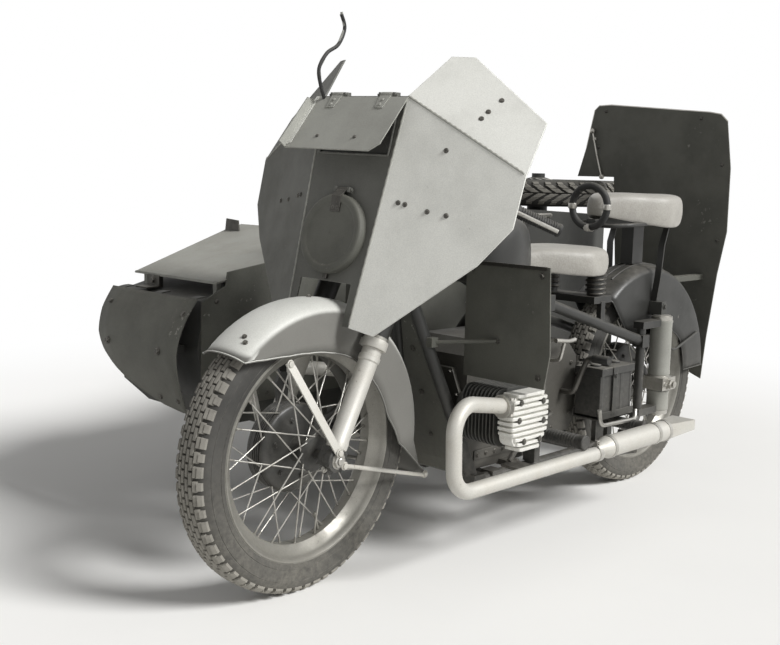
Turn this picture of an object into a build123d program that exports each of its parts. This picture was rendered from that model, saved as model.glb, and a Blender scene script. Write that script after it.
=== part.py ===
"""Sidecar motorcycle with armour plates: flat twin, shaft drive, plunger rear springs.

Millimetres. X runs forward, Y to the rider's left and Z up. While it is built, zero lies
where the rear tyre meets the ground, on the motorcycle's centre plane; the last step moves
every piece so that zero is under the middle of the whole vehicle's box.
"""

from build123d import *
import os
from math import cos, degrees, radians, sin

# ------------------------------------------------------------------ driving sizes
WHEELBASE = 1430.0
TRACK = 1100.0  # sidecar tyre to motorcycle tyre
SIDE_WHEEL_LEAD = 200.0  # sidecar wheel ahead of the rear wheel
FIT = 0.3  # gap between pieces that seat on each other
RUN = 1.0  # gap at the face of a bearing

# Wheels: all four are alike
TYRE_R = 340.0
TYRE_HALF_W = 49.0
RIM_R = 252.0
RIM_HALF_W = 37.0
WELL_R = 222.0  # inner face of the rim, where the spokes end
WELL_HALF_W = 14.0
AXLE_R = 10.0
HUB_R = 30.0
HUB_LEFT = 56.0  # hub end on the left
HUB_FLANGE_R = 44.0
HUB_FLANGE_IN = 42.0  # right face of the spoke flange
DRUM_R = 108.0
DRUM_IN = -12.0  # left face of the brake drum
DRUM_OUT = -56.0  # right face of the brake drum
BRAKE_PLATE_T = 7.0
SPOKE_D = 4.0
SPOKE_SEAT = 2.0  # from the middle of a spoke's end to the hub
SPOKES_A_SIDE = 20
SPOKE_LACE = 62.0  # degrees between a spoke's two ends at the small flange
SPOKE_LACE_DRUM = 28.0  # and at the drum

# Steering head and telescopic fork
RAKE = 27.0
TRAIL = 76.0
STEER_REST = 3.4  # how far the fork is turned to the left as it stands
STEER_LIMIT = 35.0  # each way from straight ahead
HEAD_LOW = 800.0  # ends of the head tube, along the steering axis from the ground
HEAD_HIGH = 985.0
HEAD_OUT_R = 28.0
STEM_R = 15.0
YOKE_T = 22.0
YOKE_EDGE = 34.0  # yoke metal outside a leg's centre
LEG_Y = 106.0
SLIDER_R = 23.0
SLIDER_LEN = 250.0
LEG_COVER_R = 27.0
COLLAR_R = 30.0
COLLAR_LEN = 22.0
FORK_END = 46.0  # height and length of the block that holds the spindle
FORK_SIDE = 20.0  # half its width
SPINDLE_HALF = 135.0
BAR_D = 24.0
BAR_END = (WHEELBASE - 472.0, 372.0, 872.0)
BAR_ELBOW = (WHEELBASE - 352.0, 262.0, 936.0)
GRIP_D = 32.0
GRIP_LEN = 120.0

# Sheet and plate
ARMOUR = 4.0
SHEET = 2.0

# Mudguards, about their wheels
FRONT_GUARD_R = TYRE_R + 24.0
REAR_GUARD_R = TYRE_R + 36.0
REAR_GUARD_DEPTH = 150.0
SIDE_GUARD_R = TYRE_R + 32.0
GUARD_HALF_W = 70.0
GUARD_SHOULDER = 28.0  # how far the crown slopes down to the valance
GUARD_FLAT_HALF = 30.0  # half width of the crown's top
STAY_D = 10.0

# Front shield
LAMP_Z = 842.0
LAMP_R = 80.0
LAMP_HOLE_R = 84.0
LAMP_LEN = 100.0
COVER_R = 95.0
COVER_T = 22.0
COVER_SHEET = 3.0
NOTCH_HALF_W = 82.0
NOTCH_TOP_Z = 735.0
FLAP_HALF_W = 146.0
FLAP_LEN = 170.0
FLAP_REST = 50.0  # degrees below level as it stands
FLAP_T = 3.0
FLAP_LIP = 26.0
FLAP_CORNER = 22.0
FLAP_KNUCKLE_Y = 78.0
WINDOW_HALF_W = 112.0
WINDOW_TOP_Z = 1135.0
WINDOW_LOW_Z = 1030.0
HINGE_PIN_D = 6.0
KNUCKLE_R = 6.0
KNUCKLE_LEN = 36.0
EAR_T = 6.0
PULL_ROD_D = 7.0
PULL_ROD_Y = -118.0

# Frame
FRAME_D = 32.0
CROSS_D = 26.0
POST_D = 28.0
LUG = 44.0  # side of a lug block where tubes meet
RAIL_Y = 120.0
RAIL_Z = 190.0
RAIL_FRONT_X = 925.0
POST_X = 120.0
CROSS_X = (400.0, 850.0)
TANK_LUG = (620.0, 100.0, 640.0)
REAR_LUG_Z = 486.0
PLUNGER_Y = 112.0
PLUNGER_R = 33.0
PLUNGER_LOW = TYRE_R - 100.0
PLUNGER_HIGH = TYRE_R + 215.0
REAR_SPINDLE_HALF = 172.0
ARM_T = 22.0
SHAFT_D = 22.0

# Engine
CRANK_HALF_W = 94.0
GEARBOX_HALF_W = 85.0
CYL_FOOT = 126.0  # where each barrel starts, from the centre plane
CYL_X = 925.0
CYL_STAGGER = 40.0  # the right cylinder stands this far behind the left one
CYL_Z = 388.0
HEAD_FACE_Y = 300.0
HEAD_SIZE = 150.0
HEAD_DEPTH = 50.0
HEAD_CORNER = 26.0
BARREL_R = 44.0
FLANGE_R = 46.0  # crankcase flange under each barrel
FIN_T = 4.0
FIN_PITCH = 12.0
FACE_FIN_PITCH = 18.0
FACE_FIN_GAP = 9.0

# Exhaust
PIPE_D = 38.0
PIPE_Y = 300.0
PIPE_Z = 250.0
PIPE_TOP_Z = 470.0
PIPE_FRONT_X = 1222.0
PIPE_BEND = 62.0
PORT_Y = 276.0
PORT_RISE = 42.0
PORT_FLANGE = 46.0
PORT_FLANGE_T = 9.0
SILENCER_D = 60.0
SILENCER_LIFT = 10.0
SILENCER_X = (250.0, 612.0)

# Tank, saddles and what they rest on
TANK_FRONT_X = 935.0
TANK_REAR_X = 655.0
TANK_TOP_Z = 902.0
TANK_BASE_Z = 700.0
TANK_HALF_W = 145.0
SADDLE_TOP = 788.0
SADDLE_DROP = 68.0
SADDLE_X = (315.0, 640.0)
SADDLE_HALF_W = 142.0
PILLION_TOP = 942.0
PILLION_DROP = 80.0
PILLION_X = (-100.0, 250.0)
GRAB_X = 272.0
GRAB_Z = 900.0
GRAB_R = 63.0
GRAB_BAR_R = 11.0

# Footrests and leg shields
PEG_X = 690.0
PEG_Z = 290.0
PEG_Y = (150.0, 305.0)
PEG_D = 32.0
REAR_PEG_X = 300.0
REAR_PEG_Z = 262.0
REAR_PEG_Y = (130.0, 250.0)
LEG_PLATE_X = 948.0
REAR_PLATE_X = -430.0

# Sidecar body
TUB_IN_Y = -430.0
TUB_OUT_Y = 170.0 - TRACK
TUB_NOSE_OUT_Y = TUB_OUT_Y + 110.0
TUB_NOSE_X = 1385.0
TUB_BASE_Z = 300.0
TUB_WALL = 8.0
WELL_X = (60.0, 800.0)  # open part of the cockpit
DECK_FRONT_Z = 640.0
DECK_REAR_X = 880.0
DECK_REAR_Z = 742.0
BOOT_TOP_Z = 868.0
NOSE_PLATE_Y = (TUB_NOSE_OUT_Y - 5.0, -420.0)
GLACIS_FRONT = (1350.0, 688.0)  # X and Z of its front edge
GLACIS_REAR = (880.0, 810.0)
SIDE_PLATE_Y = -425.7

# Sidecar chassis and spare wheel
SIDE_TUBE_D = 44.0
SIDE_TUBE_Z = 215.0
SIDE_TUBE_IN_Y = -462.0
SIDE_TUBE_OUT_Y = TUB_OUT_Y + 40.0
STRUT_D = 26.0
SPARE_X = -450.0
SPARE_Y = -735.0
SPARE_Z = 925.0

# ------------------------------------------------------------------ shared places
AXLE_Z = TYRE_R
FRONT_AXLE = Vector(WHEELBASE, 0, AXLE_Z)
REAR_AXLE = Vector(0, 0, AXLE_Z)
SIDE_AXLE = Vector(SIDE_WHEEL_LEAD, -TRACK, AXLE_Z)

STEER_FOOT = Vector(WHEELBASE + TRAIL, 0, 0)  # the steering axis meets the ground
STEER_UP = Vector(-sin(radians(RAKE)), 0, cos(radians(RAKE)))
STEER_AHEAD = Vector(cos(radians(RAKE)), 0, sin(radians(RAKE)))
STEER_AXIS = Axis(STEER_FOOT, STEER_UP)
STEER_PLANE = Plane(origin=STEER_FOOT, x_dir=STEER_AHEAD, z_dir=STEER_UP)
AXLE_ALONG = (FRONT_AXLE - STEER_FOOT).dot(STEER_UP)
AXLE_AHEAD = (FRONT_AXLE - STEER_FOOT).dot(STEER_AHEAD)
LOW_YOKE = HEAD_LOW - RUN - YOKE_T
HIGH_YOKE = HEAD_HIGH + RUN

# The upper frame tube and the down tube of the left side, as straight runs
HEAD_TUBE_TOP = (WHEELBASE - 380.0, 20.0, 828.0)
HEAD_TUBE_LOW = (WHEELBASE - 328.0, 20.0, 726.0)
UPPER_RUNS = [(HEAD_TUBE_TOP, TANK_LUG), (TANK_LUG, (POST_X, PLUNGER_Y, REAR_LUG_Z))]
DOWN_RUN = (HEAD_TUBE_LOW, (RAIL_FRONT_X, RAIL_Y, RAIL_Z))

# The shield's outline points on the left, on its outer face
HINGE = (WHEELBASE - 178, 133, 1166)
CREASE_LOW = (WHEELBASE - 41, 102, 639)
TIP_LOW = (WHEELBASE - 60, 161, 626)
EDGE_MID = (WHEELBASE - 175, 354, 799)
EDGE_REAR_LOW = (WHEELBASE - 217, 414, 884)
CREASE_REAR = (WHEELBASE - 248, 420, 1002)
WING_REAR = (WHEELBASE - 336, 409, 1116)
WING_TOP = (WHEELBASE - 311, 215, 1262)
WING_IN = (WHEELBASE - 290, 172, 1262)


# ------------------------------------------------------------------ helpers
def tube(points, diameter, bend=60.0):
    """A round bar along straight runs joined by arcs."""
    points = [Vector(*p) for p in points]
    path = Line(*points) if len(points) == 2 else FilletPolyline(*points, radius=bend)
    runs = []
    for edge in path.edges():
        disc = (Plane(origin=edge @ 0, z_dir=edge % 0) * Circle(diameter / 2)).face()
        if edge.geom_type == GeomType.LINE:
            runs.append(Solid.extrude(disc, edge @ 1 - edge @ 0))
        else:
            turn = Axis(edge.arc_center, (edge % 0).cross(edge % 1))
            runs.append(Solid.revolve(disc, degrees(edge.length / edge.radius), turn))
    return runs[0].fuse(*runs[1:]) if len(runs) > 1 else runs[0]


def rod(start, end, diameter):
    """A straight round bar."""
    return tube([start, end], diameter)


def disc(radius, y0, y1):
    """A cylinder across the vehicle, between two distances from the centre plane."""
    return Pos(0, (y0 + y1) / 2, 0) * Cylinder(radius, abs(y1 - y0), rotation=(90, 0, 0))


def block(x0, x1, y0, y1, z0, z1):
    """A box between two corners."""
    size = (x1 - x0, y1 - y0, z1 - z0)
    return Pos((x0 + x1) / 2, (y0 + y1) / 2, (z0 + z1) / 2) * Box(*size)


def lug(place, size=LUG):
    """A lug block about a point."""
    return Pos(*place) * Box(size, size, size)


def spun(profile):
    """Revolve an outline of (radius, across) points about the wheel's axis."""
    return revolve(make_face(Polyline(*profile, close=True)), Axis.Y)


def slab(points, thickness, direction):
    """A flat plate: its outline at the outer face, pushed along direction."""
    outline = Wire.make_polygon([Vector(*p) for p in points], close=True)
    return Solid.extrude(Face(outline), Vector(*direction).normalized() * thickness)


def side_profile(points, y0, y1):
    """An outline in the X-Z plane, pushed from y0 to y1."""
    return slab([(x, y0, z) for x, z in points], abs(y1 - y0), (0, y1 - y0, 0))


def plan_profile(points, z0, z1):
    """An outline in the X-Y plane, pushed from z0 to z1."""
    return slab([(x, y, z0) for x, y in points], z1 - z0, (0, 0, 1))


def mirrored(shapes):
    """Each shape followed by its mirror image across the motorcycle's centre plane."""
    return [s for shape in shapes for s in (shape, mirror(shape, Plane.XZ))]


def joined(shapes):
    """All the shapes as one."""
    shapes = list(shapes)
    return shapes[0].fuse(*shapes[1:])


def grouped(shapes):
    """Separate solids that share a node."""
    return Compound(children=[solid for shape in shapes for solid in shape.solids()])


def steered(shape):
    """Turn a piece of the steered assembly from straight ahead to where it rests."""
    return shape.rotate(STEER_AXIS, STEER_REST)


def fork_block(along, ahead, y):
    """A box given by its (low, high) along, ahead of and across the steering axis."""
    return STEER_PLANE * block(*ahead, *y, *along)


def fork_bar(along, ahead, y, length, radius):
    """A cylinder parallel to the steering axis."""
    return STEER_PLANE * (Pos(ahead, y, along + length / 2) * Cylinder(radius, length))


# ------------------------------------------------------------------ wheels
def make_tyre():
    """Tyre without its tread pattern: flat walls, two slopes at each shoulder and a level crown."""
    half = [(RIM_R + FIT, TYRE_HALF_W), (TYRE_R - 24, TYRE_HALF_W), (TYRE_R - 7, TYRE_HALF_W - 13),
            (TYRE_R, TYRE_HALF_W - 33)]
    return spun(half + [(r, -w) for r, w in reversed(half)])


def make_spoke(side, index):
    """One spoke, just clear of the hub and the rim; odd ones lean the other way."""
    rim_angle = radians(360.0 / SPOKES_A_SIDE * (index + (0.25 if side > 0 else 0.75)))
    odd = index % 2
    if side > 0:
        lean, inner_r = SPOKE_LACE, HUB_FLANGE_R + SPOKE_SEAT
        inner_y = HUB_LEFT - SPOKE_D if odd else HUB_FLANGE_IN + SPOKE_D
    else:
        lean, inner_r = SPOKE_LACE_DRUM, DRUM_R + SPOKE_SEAT
        inner_y = DRUM_IN - SPOKE_D * (1 if odd else 3)
    hub_angle = rim_angle + radians(lean if odd else -lean)
    outer_r = WELL_R - SPOKE_SEAT / 2
    outer_y = side * SPOKE_D * (2.6 if odd == (side > 0) else 1.3)
    inner = Vector(inner_r * cos(hub_angle), inner_y, inner_r * sin(hub_angle))
    outer = Vector(outer_r * cos(rim_angle), outer_y, outer_r * sin(rim_angle))
    section = Plane(origin=inner, z_dir=outer - inner) * Rectangle(SPOKE_D * 0.8, SPOKE_D * 0.8)
    return Solid.extrude(section.face(), outer - inner)


def make_wheel():
    """Rim, crossed spokes, and the hub with its closed brake drum."""
    rim = spun([(RIM_R, -RIM_HALF_W), (WELL_R, -WELL_HALF_W), (WELL_R, WELL_HALF_W), (RIM_R, RIM_HALF_W)])
    bore = AXLE_R + FIT
    hub = spun([(bore, HUB_LEFT), (HUB_FLANGE_R, HUB_LEFT), (HUB_FLANGE_R, HUB_FLANGE_IN), (HUB_R, HUB_FLANGE_IN),
                (HUB_R, DRUM_IN), (DRUM_R, DRUM_IN), (DRUM_R, DRUM_OUT), (bore, DRUM_OUT)])
    spokes = [make_spoke(side, i) for side in (1, -1) for i in range(SPOKES_A_SIDE)]
    return grouped([rim, hub, *spokes])


def spindle(half_left, half_right):
    """A wheel's spindle, with the plate that closes its brake drum."""
    plate_face = DRUM_OUT - RUN
    return disc(AXLE_R, -half_right, half_left) + disc(DRUM_R, plate_face - BRAKE_PLATE_T, plate_face)


# ------------------------------------------------------------------ mudguards
def guard_section(crown_r, depth, half_w, sheet=SHEET):
    """Closed outline, as (radius, across), of a crowned mudguard with side valances."""
    def outer(inset):
        return [(crown_r - depth, half_w - inset), (crown_r - GUARD_SHOULDER, half_w - inset),
                (crown_r - inset, GUARD_FLAT_HALF)]
    near, far = outer(sheet), outer(0)
    half = far + near[::-1]
    right = [(r, -y) for r, y in half]
    return far + right[2::-1] + right[:2:-1] + near[::-1]


def make_guard(start, end, crown_r, depth, half_w):
    """Mudguard from one angle to another about its wheel, counted from straight ahead, upward."""
    section = make_face(Polyline(*guard_section(crown_r, depth, half_w), close=True))
    return revolve(section, Axis.Y, end - start).rotate(Axis.Y, -end), section


def make_front_guard():
    """Front mudguard: its valance grows from the tip, and a straight tail runs down behind."""
    start, end = 44, 184
    shell, section = make_guard(start, end, FRONT_GUARD_R, 110, GUARD_HALF_W)
    tail = extrude(section.rotate(Axis.Y, -end), 170, dir=(-0.34, 0, -0.94))
    # the valance's lower edge, as angle and radius beyond the crown's
    edge = [(40, 8), (44, 8), (55, -28), (69, -56), (86, -80), (102, -96), (128, -102), (162, -108)]
    trim = [((FRONT_GUARD_R + r) * cos(radians(a)), (FRONT_GUARD_R + r) * sin(radians(a))) for a, r in edge]
    trim += [(-282, -25), (-440, -160), (-480, -300), (200, -300), (300, 100)]
    reach = GUARD_HALF_W + 10
    shell = shell.fuse(tail) - side_profile(trim, -reach, reach)
    collar = AXLE_ALONG + FORK_END / 2 + SLIDER_LEN
    lugs = [fork_block((collar + 2, collar + COLLAR_LEN - 2), (AXLE_AHEAD - 12, AXLE_AHEAD + 12),
                       (GUARD_HALF_W - 1, LEG_Y - COLLAR_R - FIT))]
    return joined([Pos(*FRONT_AXLE) * shell, *mirrored(lugs)])


def front_guard_stays():
    """Thin rods from the spindle's ends to the mudguard's tail and front."""
    seat = STAY_D / 2 + FIT
    outer, inner = LEG_Y + FORK_SIDE + seat, GUARD_HALF_W + seat
    # each starts a little further out, because it leans in as it leaves the fork's end
    stays = [((-13, outer + 1, -13), (-372, inner, -120)), ((8, outer + 2.2, 18), (154, inner, 250))]
    bars = [rod(FRONT_AXLE + Vector(*a), FRONT_AXLE + Vector(*b), STAY_D) for a, b in stays]
    return mirrored(bars)


def make_rear_guard():
    """Rear mudguard with a bracket down to the top of each spring unit."""
    shell, _ = make_guard(62, 178, REAR_GUARD_R, REAR_GUARD_DEPTH, GUARD_HALF_W + 2)
    bracket_top = AXLE_Z + REAR_GUARD_R - REAR_GUARD_DEPTH + 34
    bracket = block(-15, 15, GUARD_HALF_W + 1, PLUNGER_Y + 6, PLUNGER_HIGH + FIT, bracket_top)
    return joined([Pos(*REAR_AXLE) * shell, *mirrored([bracket])])


def make_side_guard():
    """Sidecar mudguard with two brackets to the body's side."""
    shell, _ = make_guard(38, 172, SIDE_GUARD_R, 60, GUARD_HALF_W + 2)
    side_y = SIDE_AXLE.Y + GUARD_HALF_W + 1
    seat_r = SIDE_GUARD_R - 46
    seats = [(SIDE_AXLE.X + seat_r * cos(radians(a)), AXLE_Z + seat_r * sin(radians(a))) for a in (60, 129.5)]
    brackets = [block(x - 10, x + 10, side_y, TUB_OUT_Y - FIT, z - 10, z + 10) for x, z in seats]
    return joined([Pos(*SIDE_AXLE) * shell, *brackets])


# ------------------------------------------------------------------ front shield
def plane_normal(a, b, c):
    """Forward-facing unit normal of the plane through three points."""
    normal = (Vector(*b) - Vector(*a)).cross(Vector(*c) - Vector(*a)).normalized()
    return normal if normal.X > 0 else normal * -1


def flat(points):
    """Move every point along X onto the plane of the first three."""
    origin, normal = Vector(*points[0]), plane_normal(*points[:3])
    return [(x - (Vector(x, y, z) - origin).dot(normal) / normal.X, y, z) for x, y, z in points]


SIDE_NORMAL = plane_normal(HINGE, CREASE_LOW, CREASE_REAR)
WING_NORMAL = plane_normal(HINGE, CREASE_REAR, WING_TOP)
CENTRE_SLOPE = (HINGE[0] - CREASE_LOW[0]) / (HINGE[2] - CREASE_LOW[2])  # X change per rise
CENTRE_NORMAL = Vector(1, 0, -CENTRE_SLOPE).normalized()
CREASE_SLOPE = (HINGE[1] - CREASE_LOW[1]) / (HINGE[2] - CREASE_LOW[2])  # Y change per rise


def centre_x(z):
    """X of the centre plate's outer face at a height."""
    return HINGE[0] + CENTRE_SLOPE * (z - HINGE[2])


def crease_y(z):
    """Half width of the centre plate at a height."""
    return HINGE[1] + CREASE_SLOPE * (z - HINGE[2])


LAMP_CENTRE = Vector(centre_x(LAMP_Z), 0, LAMP_Z)
COVER_PLANE = Plane(origin=LAMP_CENTRE, x_dir=(0, 1, 0), z_dir=CENTRE_NORMAL)
COVER_PIN = (COVER_R + 12.0, KNUCKLE_R + FIT)  # up the plate and out from it
FLAP_PIN = Vector(HINGE[0] + 8, 0, HINGE[2] + 2)


def make_shield_side():
    """Left side plate with its upper wing folded back along a crease, and its bracket."""
    lower = [HINGE, CREASE_LOW, CREASE_REAR, EDGE_REAR_LOW, EDGE_MID, TIP_LOW]
    lower = flat(lower)
    lower = [lower[i] for i in (0, 1, 5, 4, 3, 2)]
    upper = flat([HINGE, CREASE_REAR, WING_TOP, WING_REAR, WING_IN])
    upper = [upper[i] for i in (0, 1, 3, 2, 4)]
    plate = slab(lower, ARMOUR / SIDE_NORMAL.X, (-1, 0, 0))
    wing = slab(upper, ARMOUR / WING_NORMAL.X, (-1, 0, 0))
    return plate.fuse(wing)


def make_shield_bracket():
    """Flat bar from the left fork leg's cover to the side plate's inner face."""
    leg_front = leg_x(BRACKET_Z) + LEG_COVER_R / STEER_AHEAD.X + FIT
    far = CREASE_LOW[0] - 89
    bar = plan_profile([(leg_front, LEG_Y - 15), (leg_front, LEG_Y + 12), (far - 50, 300), (far, 280), (far, 240)],
                       BRACKET_Z, BRACKET_Z + 25)
    return bar & behind_side_plate()


def behind_side_plate():
    """The space behind the left side plate, from its inner face less a seating gap."""
    face_at = Vector(*HINGE) - SIDE_NORMAL * (ARMOUR + FIT)
    return Plane(origin=face_at, z_dir=SIDE_NORMAL) * (Pos(0, 0, -1000) * Box(4000, 4000, 2000))


def leg_x(z):
    """X of a fork leg's centre line at a height."""
    along = (z - STEER_AHEAD.Z * AXLE_AHEAD) / STEER_UP.Z
    return (STEER_FOOT + STEER_UP * along + STEER_AHEAD * AXLE_AHEAD).X


BRACKET_Z = 893.0


def make_shield_centre():
    """Leaning centre plate: window, lamp hole, a notch over the mudguard, and fixed hinge halves."""
    outline = [(centre_x(z), crease_y(z), z) for z in (HINGE[2], CREASE_LOW[2])]
    outline += [(centre_x(z), NOTCH_HALF_W, z) for z in (CREASE_LOW[2], NOTCH_TOP_Z)]
    outline += [(x, -y, z) for x, y, z in reversed(outline)]
    plate = slab(outline, ARMOUR / CENTRE_NORMAL.X, (-1, 0, 0))
    plate -= block(HINGE[0] - 100, HINGE[0] + 150, -WINDOW_HALF_W, WINDOW_HALF_W, WINDOW_LOW_Z, WINDOW_TOP_Z)
    plate -= COVER_PLANE * Cylinder(LAMP_HOLE_R, 60)
    up, out = COVER_PIN
    ears = [COVER_PLANE * (Pos(s * (KNUCKLE_LEN / 2 + RUN + EAR_T / 2), up, out) *
                           Box(EAR_T, 2 * KNUCKLE_R, 2 * out)) for s in (-1, 1)]
    pin = COVER_PLANE * (Pos(0, up, out) * Cylinder(HINGE_PIN_D / 2, KNUCKLE_LEN + 4 * EAR_T, rotation=(0, 90, 0)))
    reach = KNUCKLE_LEN / 2 + RUN + EAR_T / 2
    ears += [Pos(FLAP_PIN.X - 6, y + s * reach, FLAP_PIN.Z) * Box(20, EAR_T, 2 * KNUCKLE_R)
             for y in (-FLAP_KNUCKLE_Y, FLAP_KNUCKLE_Y) for s in (-1, 1)]
    pins = [Pos(FLAP_PIN.X, y, FLAP_PIN.Z) * Cylinder(HINGE_PIN_D / 2, KNUCKLE_LEN + 4 * EAR_T, rotation=(90, 0, 0))
            for y in (-FLAP_KNUCKLE_Y, FLAP_KNUCKLE_Y)]
    return joined([plate, *ears, pin, *pins])


def make_lamp_cover():
    """Round lamp cover: a shallow pressed can with a hinge knuckle on top and a latch below."""
    up, out = COVER_PIN
    can = Pos(0, 0, FIT + COVER_T / 2) * Cylinder(COVER_R, COVER_T)
    can -= Pos(0, 0, FIT + COVER_T / 2 - COVER_SHEET) * Cylinder(COVER_R - COVER_SHEET, COVER_T)
    latch = Pos(0, -COVER_R - 4, FIT + 5) * Box(14, 14, 8)
    strap = Pos(0, up - 8, out) * Box(KNUCKLE_LEN, 14, KNUCKLE_R)
    knuckle = Pos(0, up, out) * Cylinder(KNUCKLE_R, KNUCKLE_LEN, rotation=(0, 90, 0))
    bore = Pos(0, up, out) * Cylinder(HINGE_PIN_D / 2 + FIT, 2 * KNUCKLE_LEN, rotation=(0, 90, 0))
    return COVER_PLANE * (joined([can, strap, knuckle, latch]) - bore)


def make_flap():
    """Vision flap: a plate with one upturned edge, on two knuckles."""
    angle = radians(FLAP_REST)
    frame = Plane(origin=FLAP_PIN, x_dir=(cos(angle), 0, -sin(angle)), z_dir=(sin(angle), 0, cos(angle)))
    near = KNUCKLE_R + 2
    outline = Polyline((near, -FLAP_HALF_W), (FLAP_LEN, -FLAP_HALF_W), (FLAP_LEN, FLAP_HALF_W - FLAP_CORNER),
                       (FLAP_LEN - FLAP_CORNER, FLAP_HALF_W), (near, FLAP_HALF_W), close=True)
    plate = extrude(make_face(outline), FLAP_T)
    rim = [(2 * near, 0), (FLAP_LEN, 0), (FLAP_LEN, FLAP_LIP), (4 * near, FLAP_LIP)]
    lip = side_profile(rim, -FLAP_HALF_W, -FLAP_HALF_W + FLAP_T)
    tabs = [Pos(near - 2, y, FLAP_T / 2) * Box(2 * near, KNUCKLE_LEN, FLAP_T)
            for y in (-FLAP_KNUCKLE_Y, FLAP_KNUCKLE_Y)]
    knuckles = [Pos(0, y, 0) * Cylinder(KNUCKLE_R, KNUCKLE_LEN, rotation=(90, 0, 0))
                for y in (-FLAP_KNUCKLE_Y, FLAP_KNUCKLE_Y)]
    bore = Cylinder(HINGE_PIN_D / 2 + FIT, 2 * FLAP_HALF_W, rotation=(90, 0, 0))
    return frame * (joined([plate, lip, *tabs, *knuckles]) - bore)


# the pull rod's bends, as X beyond the flap's hinge and Z
PULL_ROD = [(16, 1153), (32, 1190), (39, 1228), (14, 1266), (-24, 1290), (-44, 1330), (-31, 1367)]


def make_pull_rod():
    """Bent six-sided rod by which the rider swings the flap, standing on the flap's upper corner."""
    path = Polyline(*[(HINGE[0] + x, PULL_ROD_Y, z) for x, z in PULL_ROD])
    section = Plane(origin=path @ 0, z_dir=path % 0) * RegularPolygon(PULL_ROD_D / 2, 6)
    return sweep(section, path=path, transition=Transition.RIGHT)


def make_lamp():
    """Headlamp shell behind the shield, with an arm to each fork leg's cover."""
    rear = LAMP_LEN * 0.35
    shell = make_face(Polyline((0, -FIT - ARMOUR), (LAMP_R, -FIT - ARMOUR), (LAMP_R, -LAMP_LEN + rear),
                               (LAMP_R * 0.5, -LAMP_LEN), (0, -LAMP_LEN), close=True))
    lamp = COVER_PLANE * (Rot(90, 0, 0) * revolve(shell, Axis.Y))
    lamp_x = LAMP_CENTRE.X - LAMP_LEN * 0.5
    low, high = LAMP_Z - 20, LAMP_Z + 4
    reach = LEG_COVER_R / STEER_AHEAD.X + FIT
    arm = side_profile([(leg_x(low) + reach, low), (lamp_x, low + 12), (lamp_x, high + 8),
                        (leg_x(high) + reach, high)], LAMP_R - 6, LEG_Y)
    return joined([lamp, *mirrored([arm])])


# ------------------------------------------------------------------ fork
def make_fork():
    """Both telescopic legs, yokes, stem and front spindle."""
    stem = fork_bar(LOW_YOKE, 0, 0, HIGH_YOKE + YOKE_T - LOW_YOKE, STEM_R)
    side = LEG_Y + YOKE_EDGE
    yoke = make_face(Polyline((-26, -24), (-26, 24), (AXLE_AHEAD - 20, side), (AXLE_AHEAD + YOKE_EDGE, side),
                              (AXLE_AHEAD + YOKE_EDGE, -side), (AXLE_AHEAD - 20, -side), close=True))
    yokes = [STEER_PLANE * (Pos(0, 0, base) * extrude(yoke, YOKE_T)) for base in (LOW_YOKE, HIGH_YOKE)]
    legs = []
    for y in (-LEG_Y, LEG_Y):
        low = AXLE_ALONG + FORK_END / 2
        collar = low + SLIDER_LEN
        cover = collar + COLLAR_LEN
        profile = [(0, low - 4), (SLIDER_R, low - 4), (SLIDER_R, collar), (COLLAR_R, collar), (COLLAR_R, cover),
                   (LEG_COVER_R, cover), (LEG_COVER_R, HIGH_YOKE + 4), (0, HIGH_YOKE + 4)]
        leg = revolve(make_face(Plane.XZ * Polyline(*profile, close=True)), Axis.Z)
        legs.append(STEER_PLANE * (Pos(AXLE_AHEAD, y, 0) * leg))
        half = FORK_END / 2
        legs.append(fork_block((AXLE_ALONG - half, AXLE_ALONG + half), (AXLE_AHEAD - half, AXLE_AHEAD + half),
                               (y - FORK_SIDE, y + FORK_SIDE)))
    return joined([stem, *yokes, *legs, Pos(*FRONT_AXLE) * spindle(SPINDLE_HALF, SPINDLE_HALF)])


def make_handlebar():
    """Bar in its clamp on the upper yoke."""
    end, elbow = BAR_END, BAR_ELBOW
    points = [end, elbow, (elbow[0], -elbow[1], elbow[2]), (end[0], -end[1], end[2])]
    bar = tube(points, BAR_D, bend=60)
    top = HIGH_YOKE + YOKE_T + FIT
    bar_at = Vector(elbow[0], 0, elbow[2]) - STEER_FOOT
    ahead, along = bar_at.dot(STEER_AHEAD), bar_at.dot(STEER_UP)
    clamp = fork_block((top, along + 18), (ahead - 20, ahead + 20), (-30, 30))
    return joined([bar, clamp])


def make_grips():
    """Rubber grips at the bar's ends, and the lever in front of each."""
    end, elbow = Vector(*BAR_END), Vector(*BAR_ELBOW)
    back = (elbow - end).normalized()
    inner = end + back * GRIP_LEN
    outer = end - back * 4
    grip = rod(outer, inner, GRIP_D) - rod(end - back * FIT, inner + back, BAR_D + 2 * FIT)
    return mirrored([grip])


def make_levers():
    """Clutch and brake levers, each from its clamp on the bar."""
    end, elbow = Vector(*BAR_END), Vector(*BAR_ELBOW)
    back = (elbow - end).normalized()
    root = end + back * (GRIP_LEN + 20)
    ahead = Vector(0.85, 0.5, 0).normalized()
    clamp = rod(root - back * 11, root + back * 11, BAR_D + 14) - rod(root - back * 20, root + back * 20, BAR_D + 2 * FIT)
    lever = rod(root + ahead * (BAR_D / 2 + 5), end + ahead * 52, 10)
    return mirrored([clamp + lever])


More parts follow.
